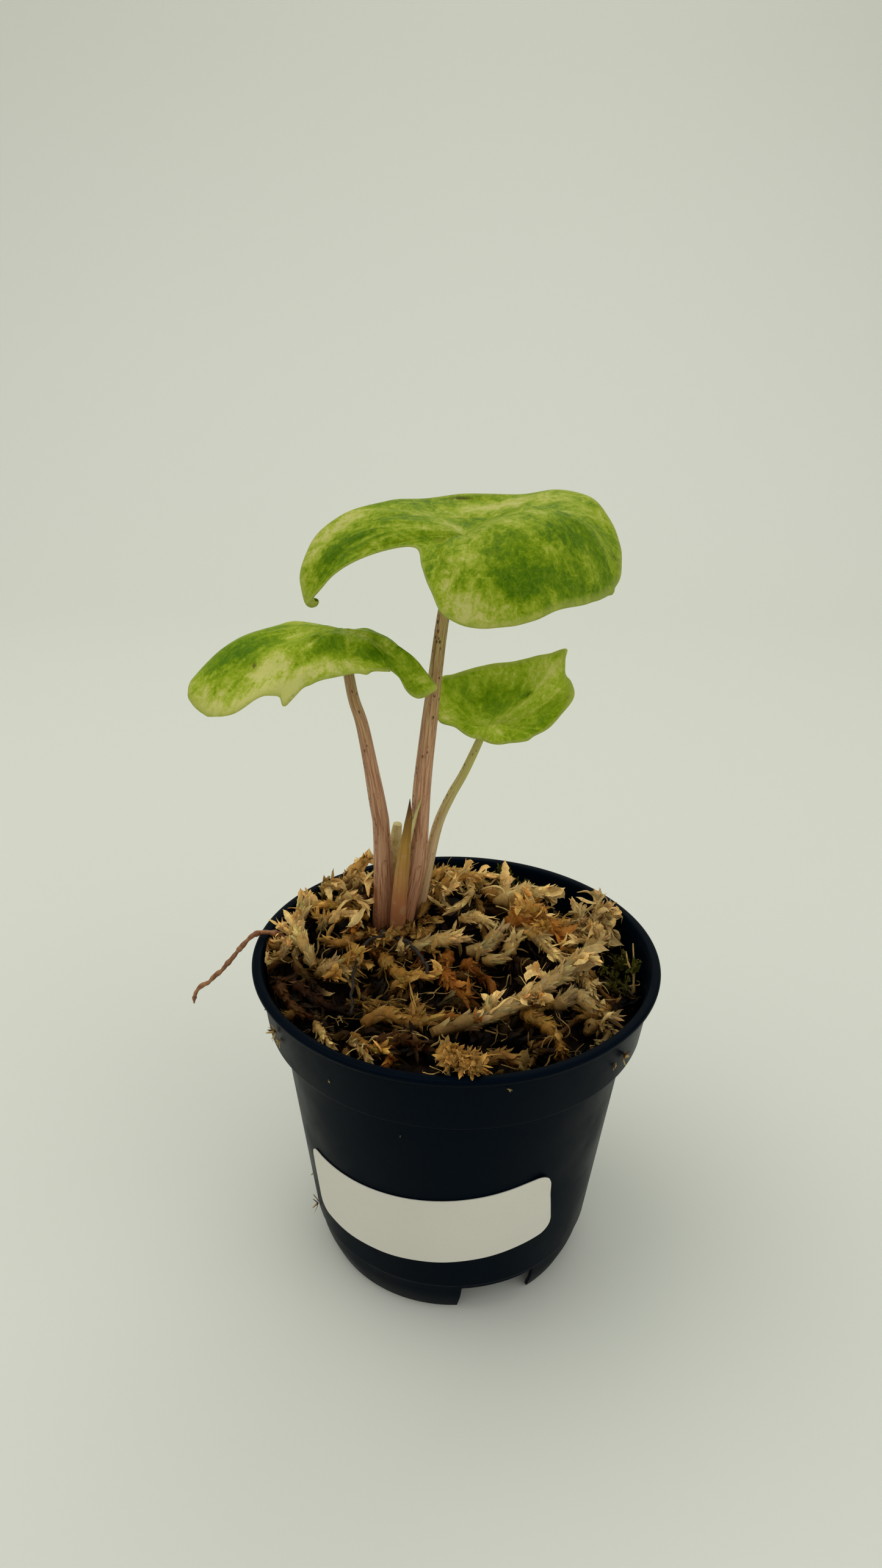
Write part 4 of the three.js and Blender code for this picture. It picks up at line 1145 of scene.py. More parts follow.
def scale_feet(rng, line, share, count):
    """Where so many scales sit along a line: share of the way, spot, heading and a direction across it."""
    at = np.sort(rng.uniform(0, 1, count))
    spot = along(line, at, share)
    heading = unit(along(unit(np.gradient(line, axis=0)), at, share))
    return at, spot, heading, unit(np.cross(heading, rng.normal(0, 1, (count, 3))))


def leafy_branch(heap, rng, line, size, colour, spread, density=2.6):
    """A moss branch: leaflets overlapping round a knotty spine, thinner to the tip."""
    line, share = even_line(line, 24)
    count = max(8, int(lengths(line)[-1] * density))
    at, spot, heading, across = scale_feet(rng, line, share, count)
    direction = unit(heading + across * (spread * rng.uniform(0.4, 1.5, count))[:, None])
    length = size * rng.uniform(0.65, 1.25, count) * (1 - 0.45 * at**2)
    width = length * rng.uniform(0.24, 0.44, count)
    cup = rng.uniform(0.2, 1.0, count)
    curl = rng.normal(0.05, 0.35, count)
    tint = np.array(colour) * rng.normal(1, 0.07, (count, 3)).clip(0.7, 1.3)
    tint = tint * rng.uniform(0.72, 1.3, (count, 1)) * (0.8 + 0.35 * at[:, None])
    core = 0.22 * size
    heap.add(*leaflets(spot + 0.6 * core * across, direction, across, length, width, cup, curl, tint, rng))
    knots = 1 + 0.25 * np.sin(share[::2] * 23 + rng.uniform(0, 6))
    vertices, quads, triangles, _ = tube(line[::2], core * knots * (1 - 0.6 * share[::2]), 6)
    heap.add(vertices, quads, triangles, np.array(colour) * 0.62)


def rope(heap, rng, line, radius, colour, lobes, lobe_width, lobe_length):
    """A thick strand of moss: a knotty core under pressed scales, with long lobes off its far half."""
    line, share = even_line(line, 24)
    reach = lengths(line)[-1]
    phase = rng.uniform(0, 6, 2)
    thick = 1 + 0.20 * np.sin(share * reach * 0.9 + phase[0]) + 0.12 * np.sin(share * reach * 2.3 + phase[1])
    thick = radius * thick * (0.55 + 0.45 * smoothstep(0, 0.15, share)) * (1 - 0.5 * share**3)
    vertices, quads, triangles, _ = tube(line, 0.84 * thick, 9, rng.uniform(-0.30, 0.30, (25, 9)))
    # The core is warmer and darker than its scales, darkest at the strand's start: the darkening is painted
    # shade under the scales.
    depth = np.concatenate([np.repeat(0.58 + 0.34 * share, 9), [0.58, 0.92]])
    heap.add(vertices, quads, triangles, np.array(colour) * np.array([1.0, 0.88, 0.72]) * depth[:, None])
    count = int(reach * (2.0 + 2.3 * radius))
    at, spot, heading, across = scale_feet(rng, line, share, count)
    foot = spot + across * (0.74 * np.interp(at, share, thick))[:, None]
    direction = unit(heading + across * rng.uniform(0.0, 0.28, count)[:, None])
    length = rng.uniform(1.5, 4.0, count) * (0.6 + 0.22 * radius)
    width = length * rng.uniform(0.24, 0.46, count)
    tint = np.array(colour) * rng.normal(1, 0.05, (count, 3)).clip(0.8, 1.2)
    tint = tint * rng.uniform(0.66, 1.25, (count, 1)) * (0.72 + 0.40 * at[:, None])
    heap.add(*leaflets(foot, direction, -across, length, width, rng.uniform(0.1, 0.9, count),
                       rng.normal(-0.16, 0.24, count), tint, rng))
    ahead = unit(line[-1] - line[-2])
    for _ in range(lobes):
        start = line[rng.integers(15, 25)]
        out = unit(ahead + rng.normal(0, 0.5, 3) + np.array([0, 0, 0.25]))
        path = curly_line(rng, start, out, lobe_length * rng.uniform(0.55, 1.25), 6, 0.34, -0.02)
        tone = np.array(colour) * rng.uniform(0.95, 1.25) + np.array([0.03, 0.03, 0.015])
        ribbon(heap, rng, path, lobe_width * rng.uniform(0.6, 1.25), tone, rng.normal(0, 1.1), 0.22, 11)


def ribbon(heap, rng, line, width, colour, twist, ragged=0.2, steps=26):
    """A flat strip of moss leaf, a flattened tube that twists along its way."""
    line, share = even_line(line, steps)
    sides = 8
    tangent = unit(np.gradient(line, axis=0))
    up = unit(np.cross(tangent[0], rng.normal(0, 1, 3)))
    angle = ring_angles(sides)
    rows = []
    for spot, ahead, at in zip(line, tangent, share):
        up = unit(up - ahead * (up @ ahead))
        side = np.cross(ahead, up)
        a = up * math.cos(at * twist) + side * math.sin(at * twist)
        b = -up * math.sin(at * twist) + side * math.cos(at * twist)
        wide = width * 0.5 * math.sin(math.pi * min(1, 0.12 + 0.95 * at)) ** 0.6
        wide *= 1 + ragged * rng.uniform(-1, 1)
        lift = 0.10 * wide * np.sin(angle) + 0.22 * wide * np.cos(angle) ** 2
        rows.append(spot + np.outer(wide * np.cos(angle), a) + np.outer(lift, b))
    vertices = np.concatenate(rows + [line[:1], line[-1:]])
    streak = rng.uniform(0.8, 1.2, (1, sides)) * rng.uniform(0.88, 1.12, (len(line), 1))
    tint = np.array(colour) * np.concatenate([streak.ravel(), [0.8, 1]])[:, None]
    heap.add(vertices, ring_faces(len(line), sides), end_fans(len(line), sides), tint)


def strand(heap, rng, line, radius, colour, flat=1.0, sides=5, steps=18):
    """A bare thread of moss, flattened when flat is under 1."""
    line, share = even_line(line, steps)
    width = radius * (1 - 0.75 * share**2) * (1 + 0.25 * np.sin(share * 19 + rng.uniform(0, 6)))
    vertices, quads, triangles, _ = tube(line, width, sides)
    if flat < 1:
        centre = np.concatenate([np.repeat(line, sides, 0), line[:1], line[-1:]])
        axis = unit(rng.normal(0, 1, 3))
        vertices = vertices - ((vertices - centre) @ axis)[:, None] * axis * (1 - flat)
    heap.add(vertices, quads, triangles, np.array(colour) * rng.uniform(0.8, 1.2))


# Where a colour is more common: (amount, x, y, width)
COLOUR_PLACES = {
    "orange": ((1.6, 4, -14, 8), (0.9, 18, 8, 6), (0.6, -14, -2, 6)),
    "cream": ((1.8, 0, -38, 8), (1.4, 20, 22, 9), (1.0, 0, 20, 9), (0.8, 34, 14, 8)),
    "grey": ((1.2, 14, -12, 8), (1.0, 30, 4, 9), (0.8, -38, -2, 7), (0.8, 2, 6, 6)),
    "brown": ((1.0, -25, -20, 9), (0.8, 22, -26, 8)),
}


def pick_colour(rng, x, y, depth, only=()):
    """Mostly tan, with orange in the middle, cream on the heaps and grey along the right, mixed with painted
    shade low down and in the gaps.
    """
    weights = {"tan": 1.4, "gold": 1.4, "orange": 0.30, "cream": 0.9, "grey": 0.15, "brown": 0.25}
    for name, places in COLOUR_PLACES.items():
        weights[name] += sum(amount * mound(x, y, at_x, at_y, wide) for amount, at_x, at_y, wide in places)
    names = [name for name in weights if not only or name in only]
    chance = np.array([weights[name] for name in names])
    colour = np.array(COLOURS[names[rng.choice(len(names), p=chance / chance.sum())]])
    # Painted shade: moss low down and in the gaps is mixed towards near black.
    painted_shade = float(np.clip((0.7 - depth) / 2.6 + 0.6 * hollow(x, y), 0, 0.95))
    return colour * (1 - painted_shade) + np.array(COLOURS["dark"]) * painted_shade


# The stalks' feet as [x, y, radius]: as they are, and with room for a thick strand
STALK_FEET = ((-13, 9, 2.2), (-17, 10, 2.1), (-9.3, 13.2, 1.4), (-14.2, 5.2, 2.2), (-14.6, 13.8, 1.8))
WIDE_STALK_FEET = ((-13, 8.8, 3.2), (-17, 10, 3.0), (-9, 13.2, 2.3), (-14.1, 5.2, 3.2))


def clear_of_stalks(x, y, room=1.6):
    return min(math.hypot(x - at_x, y - at_y) - radius for at_x, at_y, radius in STALK_FEET) > room


def away_from_stalks(path):
    """The path with any point that lies in a stalk pushed out of it."""
    path = np.array(path)
    for x, y, radius in WIDE_STALK_FEET:
        gap = path[:, :2] - [x, y]
        distance = np.hypot(gap[:, 0], gap[:, 1])
        push = np.maximum(0, radius - distance) / np.maximum(distance, 0.1)
        path[:, :2] += gap * push[:, None]
    return path


def moss_spot(rng, limit=40.3):
    while True:
        x, y = rng.uniform(-limit, limit, 2)
        if math.hypot(x, y) < limit and clear_of_stalks(x, y):
            return x, y


def flat_heading(rng):
    angle = rng.uniform(0, 2 * math.pi)
    return np.array([math.cos(angle), math.sin(angle), 0.0])


def on_moss(spots, lift=0.0):
    """Points that far above the moss, from [x, y] or from [x, y, more height]."""
    spots = np.array(spots, float)
    x, y = spots[:, 0], spots[:, 1]
    more = spots[:, 2] if spots.shape[1] == 3 else 0.0
    return np.stack([x, y, moss_height(x, y) + more + lift], -1)


def moss_bed(name, seed, material, limit, layer, settle, size=1.0):
    """A layer of short moss branches, threads and flat strips, up to so many triangles."""
    heap = Heap()
    rng = np.random.default_rng(seed)
    while heap.size() < limit:
        x, y = moss_spot(rng)
        depth = rng.uniform(*layer)
        if depth > -1.8 and hollow(x, y) > 0.45:
            continue
        z = float(moss_height(x, y)) + depth
        colour = pick_colour(rng, x, y, depth)
        kind = rng.uniform()
        heading = flat_heading(rng)
        heading[2] = rng.normal(0.1, 0.3)
        if kind < 0.66:
            line = curly_line(rng, (x, y, z), heading, rng.uniform(7, 17), 8, 0.26, 0.0, settle)
            leafy_branch(heap, rng, line, size * rng.uniform(2.8, 4.6), colour, rng.uniform(0.15, 0.40))
        elif kind < 0.82:
            line = curly_line(rng, (x, y, z), heading, rng.uniform(6, 18), 10, 0.45, 0.02, settle)
            strand(heap, rng, line, rng.uniform(0.14, 0.5), colour, rng.uniform(0.4, 1))
        else:
            line = curly_line(rng, (x, y, z), heading, rng.uniform(6, 12), 7, 0.3, 0.03, settle)
            ribbon(heap, rng, line, rng.uniform(1.4, 2.8), colour, rng.normal(0, 1.6), 0.2, 14)
    heap.piece(name, material, "moss")


# The strands that stand out: way over the moss as [x, y], radius, height over the moss, colour, lobes
MAIN_ROPES = (
    ([[-21, 11], [-27, 12.8], [-31, 13.4], [-34.8, 15.5]], 1.5, 2.4, "gold", 6),
    ([[-20, 8.4], [-24, 8.8], [-28, 8.5], [-32, 10.3]], 1.4, 2.2, "gold", 6),
    ([[-31.2, -4.9], [-34, 0], [-36.4, 5.5], [-36.6, 11]], 1.8, 3.0, "cream", 6),
    ([[-33.6, -2.8], [-29.6, -3.3], [-26.2, -3.4], [-23.7, -5.3]], 1.6, 2.6, "cream", 8),
    ([[-19.2, 4.9], [-22.8, 4], [-26.3, 2.9], [-29.4, 3.1]], 1.5, 2.2, "tan", 5),
    ([[-16.3, 0], [-14.4, -3.1], [-11.6, -5.9], [-11.9, -9.8]], 2.1, 2.6, "gold", 7),
    ([[-12.1, -6.1], [-9, -6.4], [-6.4, -5.4], [-3.7, -4.4]], 1.2, 2.8, "gold", 4),
    ([[-1.3, 2.2], [-3, -2], [-1.2, -6.2], [2.2, -9.8]], 2.3, 2.2, "orange", 7),
    ([[1.4, 0], [4.5, -1.8], [6.7, -4.5]], 2.0, 2.0, "orange", 7),
    ([[-10.2, 1.9], [-5.7, 3.6], [-1.3, 4.4], [2.3, 5.1]], 1.9, 2.4, "cream", 6),
    ([[0.5, 9.1], [4.1, 9.8], [7.9, 8.6]], 1.7, 3.0, "cream", 3),
    ([[2.3, 2], [5.9, 3.9], [10.4, 6.2], [14.3, 10.8]], 2.2, 2.6, "grey", 7),
    ([[5.8, 0], [10.3, 1.4], [14, 5], [18.3, 8.3]], 2.0, 2.2, "cream", 7),
    ([[9.9, 18], [14.9, 20.5], [18.7, 15.5], [20.1, 8.3]], 2.6, 2.4, "gold", 6),
    ([[15, 7.7], [18.6, 5.9], [21.1, 3.8], [23.6, 0.5]], 2.2, 2.2, "cream", 7),
    ([[21.8, 12.9], [26.2, 10.2], [30.5, 10.7], [34.9, 15]], 1.5, 2.6, "cream", 6),
    ([[26.8, 1.7], [28.9, -4.1], [29.2, -12.1]], 1.8, 2.4, "grey", 6),
    ([[20.4, -16.4], [24.8, -13.8], [28.5, -18.1], [32.5, -19.2]], 2.0, 2.0, "grey", 7),
    ([[13.7, -17.7], [17.5, -21.5], [20.4, -26.2], [20.7, -31.1]], 1.9, 2.0, "gold", 7),
    ([[8.7, -19.3], [13.1, -14], [17.2, -15.2]], 1.8, 2.0, "tan", 6),
    ([[-19, -23.8], [-15.2, -20.4], [-9.3, -23.8], [-4.5, -21.5]], 2.1, 1.8, "tan", 6),
    ([[-16.2, -30.1], [-10.8, -28.5], [-6.7, -32.7]], 1.7, 1.6, "brown", 5),
    ([[-35.7, -7.8], [-31.1, -10.9], [-25.2, -10.7], [-20.1, -9.8]], 1.6, 1.2, "brown", 5),
    ([[-39, -7.9], [-36.6, -12.8], [-33.7, -17.3], [-29.4, -18.7]], 1.5, 1.2, "brown", 6),
    ([[-29.1, -22.1], [-27.1, -26.6], [-25.1, -30.8]], 1.1, 2.2, "cream", 5),
    ([[-21.1, -27.3], [-18.5, -31.2], [-14.8, -33.4]], 1.3, 1.6, "gold", 6),
    ([[4.8, -36.6], [8.8, -33.5], [12.6, -35.4]], 1.6, 1.4, "tan", 6),
    ([[-8, 19.6], [-3.8, 24], [1, 26], [3.8, 20.5]], 1.2, 2.8, "gold", 5),
    ([[3.8, 20.4], [2.3, 14.4], [-1.3, 11.8], [-5, 12.8]], 1.0, 3.0, "cream", 4),
    ([[-8.6, 8.5], [-7.8, 13.4], [-6.1, 18.3], [-3.3, 24]], 1.1, 3.0, "tan", 4),
    ([[6, 19.3], [9.9, 18.4], [13.9, 17.3]], 1.7, 2.4, "tan", 5),
    ([[-4.9, 8], [-7.6, 5.6], [-10.8, 6.2]], 1.4, 2.0, "tan", 5),
    ([[-25.6, 5.2], [-23.3, 1.4], [-24.1, -2.3]], 1.4, 1.8, "tan", 5),
    ([[26.2, -24.5], [29, -20.8], [31.5, -23.9]], 1.5, 1.8, "cream", 6),
)


def rope_bed(name, seed, material, colours, count, ropes):
    """The given strands, with thin threads and so many more strands laid at random."""
    heap = Heap()
    rng = np.random.default_rng(seed)
    for spots, radius, lift, colour, lobes in ropes:
        line = on_moss(spots, lift - 0.4 * radius)
        line[1:-1] += rng.normal(0, 0.5, (len(line) - 2, 3))
        line = away_from_stalks(line)
        rope(heap, rng, line, 0.86 * radius, COLOURS[colour], lobes, 0.8 * radius, 3.0 * radius)
    for _ in range(3 * count):
        x, y = moss_spot(rng)
        start = (x, y, float(moss_height(x, y)) + rng.uniform(0, 1.5))
        line = curly_line(rng, start, flat_heading(rng), rng.uniform(5, 14), 10, 0.5, 0.02, 1.2)
        strand(heap, rng, line, rng.uniform(0.08, 0.24), COLOURS["cream"], rng.uniform(0.5, 1), 4, 14)
    for _ in range(count):
        x, y = moss_spot(rng, 38)
        if hollow(x, y) > 0.55:
            continue
        tone = pick_colour(rng, x, y, rng.uniform(-0.6, 0.8), colours)
        start = (x, y, float(moss_height(x, y)) + rng.uniform(-0.6, 0.8))
        heading = flat_heading(rng)
        line = curly_line(rng, start, heading, rng.uniform(9, 21), 9, 0.34, 0.0, rng.uniform(0.2, 1.2))
        line = away_from_stalks(line)
        rope(heap, rng, line, rng.uniform(0.6, 1.3), tone, 5, rng.uniform(0.8, 1.6), rng.uniform(3, 6))
    heap.piece(name, material, "moss_pale")


def make_core(material):
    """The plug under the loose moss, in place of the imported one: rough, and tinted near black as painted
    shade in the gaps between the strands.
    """
    sides, rings, bottom_rings = 120, 44, 12
    low = PLATE_HIGH + 0.3
    rng = np.random.default_rng(5)
    rough = rng.uniform(-1, 1, (rings, sides))
    rows = []
    for k in range(rings):
        x, y = circle(CORE_TOP_RADIUS * (k + 1) / rings, sides)
        z = np.minimum(moss_height(x, y) - CORE_DEPTH + 1.1 * rough[k], POT_HEIGHT - 2.5)
        rows.append(np.stack([x, y, z], -1))
    for z in np.linspace(BAND_FOOT_Z + 1.4, low + 1.5, 24):
        radius = inner_radius(min(z, BAND_FOOT_Z)) - 0.55 - 0.25 * rng.uniform(0, 1, sides)
        rows.append(np.stack([*circle(radius, sides), np.full(sides, z)], -1))
    for k in range(bottom_rings, 0, -1):
        x, y = circle((inner_radius(low) - 1.9) * k / bottom_rings, sides)
        rows.append(np.stack([x, y, low + 0.35 * rng.uniform(0, 1, sides)], -1))
    vertices = np.concatenate(rows + [[[0, 0, float(moss_height(0, 0)) - CORE_DEPTH], [0, 0, low]]])
    quads = ring_faces(len(rows), sides)[:, ::-1]
    triangles = end_fans(len(rows), sides)[:, ::-1]
    # Painted shade: the plug is tinted near black, unevenly, to read as the shade between the strands.
    tint = np.array(COLOURS["dark"]) * rng.uniform(0.3, 1.6, (len(vertices), 1))
    core = make_mesh("moss_core", vertices, quads, triangles, tint=tint)
    place(core, material, "moss", "moss_plug")


# Loose sprigs: name, stations as [x, y, height above the moss], colour, radius, side strands, their length
# and colour, threads, lobes and their width
SPRIGS = (
    ("front_tuft", [[-3.5, -36, 1.6], [-1, -38.6, 3.0], [2, -40.6, 3.4], [4.5, -41.4, 1.8]],
     "gold", 2.0, 22, 2.6, "tan", 5, 8, 2.0),
    ("long_sprig", [[-5, -29, 1.6], [6, -22.5, 2.8], [17, -12.5, 3.0], [26, -3, 3.4], [34, 8.5, 3.8]],
     "grey", 1.9, 11, 6, "cream", 8, 8, 2.4),
    ("right_sprig", [[28, 12, 1.6], [33, 15, 3.4], [37.5, 16, 6]],
     "cream", 1.7, 6, 6, "grey", 5, 7, 2.2),
    ("cream_frond", [[9, 16, 1.8], [15, 21, 3.4], [20, 24, 5], [23, 26, 6.5]],
     "cream", 2.2, 4, 6, "cream", 4, 9, 3.0),
    ("orange_lump", [[11, 9, 1.6], [17, 10.5, 3.4], [23, 8, 1.8]],
     "orange", 2.6, 7, 5, "gold", 3, 6, 2.6),
    ("loop_tuft", [[-5, 14, 1.2], [-2, 19, 2.6], [3, 22, 3.2], [7, 24, 1.4]],
     "gold", 1.5, 8, 5, "cream", 22, 5, 1.6),
    ("left_frond", [[-37, 7, 1], [-36, 11, 3.0], [-34.5, 14, 5.5]],
     "cream", 1.5, 3, 4, "tan", 3, 5, 2.2),
    ("left_tuft", [[-31, -6, 1.2], [-26.5, -4, 2.6], [-22.5, -3, 1.6]],
     "cream", 1.9, 5, 5, "gold", 5, 7, 2.4),
    ("root_cluster", [[-39, -3, 1], [-37.5, 1, 2.2], [-36, 5, 1.2]],
     "grey", 1.2, 6, 4, "cream", 10, 5, 1.4),
)

# Patches of living moss: side of the pot, stations as above
PATCHES = (
    ("back_left", [[-33, 24, 0.8], [-27, 29, 2.4], [-19, 33, 1.4]]),
    ("back_right", [[8, 35, 1], [14, 35, 2.4], [20, 34, 1]]),
    ("right", [[35.5, -8, 1], [36.5, -3, 2.4], [36.5, 3, 1.2]]),
)


def make_sprig(seed, material, name, stations, colour, radius, tufts, reach, second, threads,
               lobes, lobe_width):
    """A thick strand along the stations, with side strands and threads leaving it."""
    rng = np.random.default_rng(seed)
    heap = Heap()
    line = on_moss(stations)
    rope(heap, rng, line, radius, COLOURS[colour], lobes, lobe_width, 3.1 * radius)
    even, _ = even_line(line, 40)
    for index in range(tufts + threads):
        spot = even[rng.integers(2, 39)]
        heading = unit(rng.normal(0, 1, 3) + np.array([0, 0, 0.55]))
        tone = np.array(COLOURS[second]) * rng.uniform(0.85, 1.2)
        if index < tufts:
            path = curly_line(rng, spot, heading, reach * rng.uniform(0.5, 1.2), 6, 0.35, -0.03)
            rope(heap, rng, path, radius * rng.uniform(0.4, 0.7), tone, 4, lobe_width * 0.75, 0.8 * reach)
        else:
            path = curly_line(rng, spot, heading, reach * rng.uniform(0.8, 1.8), 9, 0.5, -0.06)
            strand(heap, rng, path, rng.uniform(0.10, 0.3), tone, rng.uniform(0.35, 1))
    limit = RIM_RADIUS - 0.2 if name == "front_tuft" else MOSS_REACH
    heap.piece(name, material, "moss_pale", "moss_" + name, reach=limit)


def make_patch(seed, material, side, stations):
    """Small olive shoots of living moss."""
    rng = np.random.default_rng(seed)
    heap = Heap()
    even, _ = even_line(on_moss(stations), 40)
    for _ in range(20):
        spot = even[rng.integers(0, 41)] + rng.normal(0, 0.9, 3)
        heading = unit(rng.normal(0, 0.7, 3) + np.array([0, 0, 0.9]))
        path = curly_line(rng, spot, heading, rng.uniform(2.5, 5), 5, 0.3)
        size = rng.uniform(1.5, 2.6)
        leafy_branch(heap, rng, path, size, np.array(COLOURS["olive"]) * rng.uniform(0.7, 1.5), 0.8, 3.2)
    node = "moss_right_green" if side == "right" else "moss_" + side
    heap.piece(side + "_green", material, "moss_green", node)


def collar(heap, rng):
    """Moss drawn up round the feet of the stalks."""
    for step in range(76):
        angle = rng.uniform(0, 2 * math.pi)
        near = rng.uniform(4.4, 8.5)
        x = CROWN_X - 0.8 + near * math.cos(angle)
        y = CROWN_Y + 0.3 + near * math.sin(angle)
        if not clear_of_stalks(x, y, 0.6):
            continue
        rise = rng.uniform(-2.0, 0.4 if math.sin(angle) < 0.3 else 3.2)
        start = [x, y, float(moss_height(x, y)) + rise]
        heading = np.array([-math.sin(angle), math.cos(angle), 0.0]) * rng.choice([-1, 1])
        heading = heading + np.array([0.25 * math.cos(angle), 0.25 * math.sin(angle), rng.normal(0.15, 0.35)])
        colour = np.array(COLOURS[rng.choice(["tan", "gold", "cream", "orange", "tan", "brown"])])
        path = curly_line(rng, start, heading, rng.uniform(4, 10), 8, 0.25, -0.02)
        path = away_from_stalks(path)
        if step % 3:
            # Strands that start higher get a lighter tint and those at or under the moss the darkest: painted
            # shade low down.
            rope(heap, rng, path, rng.uniform(0.7, 1.2), colour * (0.7 + 0.1 * max(rise, 0)), 3, 1.3, 4)
        else:
            ribbon(heap, rng, path, rng.uniform(1.0, 2.2), colour, rng.normal(0, 1.2))


# Single threads of the details, and the pale fronds behind the left stalk
TENDRIL = [[27.5, 22.5, 71.8], [31, 23.5, 71.6], [33.6, 24.2, 72.8], [33.8, 24.8, 74.8], [32, 25.3, 76.2],
           [29.6, 25.5, 75.8]]
WALL_FORK = [[38.6, -9, 66], [39.6, -3, 68.5], [40.2, 2, 71], [40.4, 6, 73.8]]
FORK_BRANCH = [[39.9, -1, 69.5], [38.8, 1.5, 71.5], [38.4, 3, 73.6]]
FRONDS = (
    [[-24, 20, 78], [-23, 19, 84], [-21.5, 17.5, 88.5], [-20, 15, 90]],
    [[-27, 18, 77], [-26.5, 17, 82], [-24, 14.5, 86], [-20.5, 11, 86.5]],
    [[-29, 14, 75], [-27, 12.5, 80], [-24, 10, 83], [-20.8, 7.5, 82]],
    [[-32, 8, 73], [-29, 8.5, 77.5], [-25.5, 8, 79.5], [-22, 6, 78.5]],
    [[-30, 20, 74], [-31, 18, 79], [-30, 16, 82.5], [-27.5, 14, 83.5]],
)


def make_details(material):
    """Curled tendril, forked thread on the wall, pale fronds and the moss round the foot of the stalks."""
    heap = Heap()
    rng = np.random.default_rng(77)
    cream = COLOURS["cream"]
    strand(heap, rng, TENDRIL, 0.5, cream, 0.8, 6, 40)
    strand(heap, rng, WALL_FORK, 0.4, COLOURS["grey"], 0.8, 6, 30)
    strand(heap, rng, FORK_BRANCH, 0.35, cream, 0.8, 6, 24)
    for line in FRONDS:
        rope(heap, rng, line, 1.0, cream, 5, 1.8, 6)
        bend = np.array(line, float) + rng.normal(0, 0.7, (4, 3))
        ribbon(heap, rng, bend, 1.8, cream, rng.normal(0, 1.0))
    collar(heap, rng)
    heap.piece("moss_details", material, "moss_pale")


# Roots that are seen: the one over the rim, and two dark threads, each as way over the moss as [x, y], radius
# and height over the moss
HANGING_ROOT = [[-36, 4.6, 73.4], [-38.5, 4.4, 74.8], [-41, 4.3, 75.9], [-43.5, 4, 76.4], [-46, 2.8, 75.9],
                [-48.5, 1.2, 73.6], [-51, 0, 70.7], [-54, -0.4, 67.4], [-58, -0.6, 63.9], [-59.3, -0.8, 61.7],
                [-59.2, -1, 60.2]]
DARK_THREADS = (
    ([[-15, 3.0], [-19.6, 1.8], [-21.6, -1.5], [-22.3, -6], [-22.4, -11.5], [-21.9, -17], [-21.4, -22]],
     0.38, 3.6),
    ([[-17, 3.4], [-13.5, 2.2], [-10, 0.5], [-7.4, -3], [-6, -6.5]], 0.55, 3.8),
)


def make_roots(material, dark):
    """The root over the rim, gently kinked, and the two dark threads."""
    line, share = even_line(HANGING_ROOT, 140)
    line = line + 0.16 * np.stack([np.sin(share * 41), np.sin(share * 53 + 1), np.sin(share * 37 + 2)], -1)
    width = 0.62 * (1 + 0.16 * np.sin(share * 47) + 0.10 * np.sin(share * 113)) * (1 - 0.25 * share)
    width[-8:] *= np.linspace(1, 0.3, 8)
    vertices, quads, triangles, uv = tube(line, width, 14)
    root = make_mesh("hanging_root", vertices, quads, triangles, uv=uv)
    place(root, material, "root", "root_over_rim")
    heap = Heap()
    for spots, radius, lift in DARK_THREADS:
        line, share = even_line(on_moss(spots, lift), 90)
        wander = np.stack([np.sin(share * 37), np.cos(share * 29), np.sin(share * 23)], -1)
        vertices, quads, triangles, _ = tube(line + 0.2 * wander, radius * (1 - 0.35 * share), 10)
        heap.add(vertices, quads, triangles, np.ones(3))
    heap.piece("dark_roots", dark, "root")


# Bits of moss and grit stuck to the pot: [angle, height, size, stretch]
CRUMBS = [
    [-0.645, 66.8, 1.5, 1.2], [-0.72, 66.0, 0.8, 1.0], [-2.62, 68.2, 1.0, 2.6], [-2.60, 66.4, 0.9, 1.6],
    [-2.93, 64.5, 0.5, 1.2], [-1.35, 71.6, 0.45, 2.2], [-2.20, 66.4, 0.4, 1.2], [-0.52, 72.2, 0.6, 1.4],
    [-2.86, 9.4, 0.9, 3.0], [-2.92, 16.6, 0.6, 1.0], [-1.86, 55.0, 0.3, 1.4], [0.4, 60, 0.5, 1.4],
    [1.3, 66, 0.6, 1.5], [2.2, 48, 0.5, 1.2], [2.9, 70, 0.7, 1.8], [1.9, 30, 0.4, 1.1],
]


def make_crumbs(material):
    """Leaflets pressed to the pot in small clusters."""
    heap = Heap()
    rng = np.random.default_rng(64)
    for angle, z, size, stretch in CRUMBS:
        band = BAND_FOOT_RADIUS + (z - BAND_FOOT_Z) * BAND_SLOPE
        surface = outer_radius(z) if z < BAND_FOOT_Z else band
        outward = np.array([math.cos(angle), math.sin(angle), 0.0])
        centre = surface * outward + np.array([0, 0, z])
        for _ in range(6 if size > 0.7 else 3):
            heading = np.cross(outward, rng.normal(0, 1, 3)) + 0.3 * outward
            colour = COLOURS[rng.choice(["grey", "cream", "brown"])]
            spot = centre + outward * 0.15 + rng.normal(0, 0.25 * size, 3) * (1 - outward * outward)
            values = (spot, heading, outward, size * stretch, size * 0.6, 0.3, 0.3, colour)
            heap.add(*leaflets(*(np.array([value], float) for value in values), rng))
    place(make_mesh("pot_crumbs", *heap.arrays()), material, "moss_pale")


# Stage, light and camera


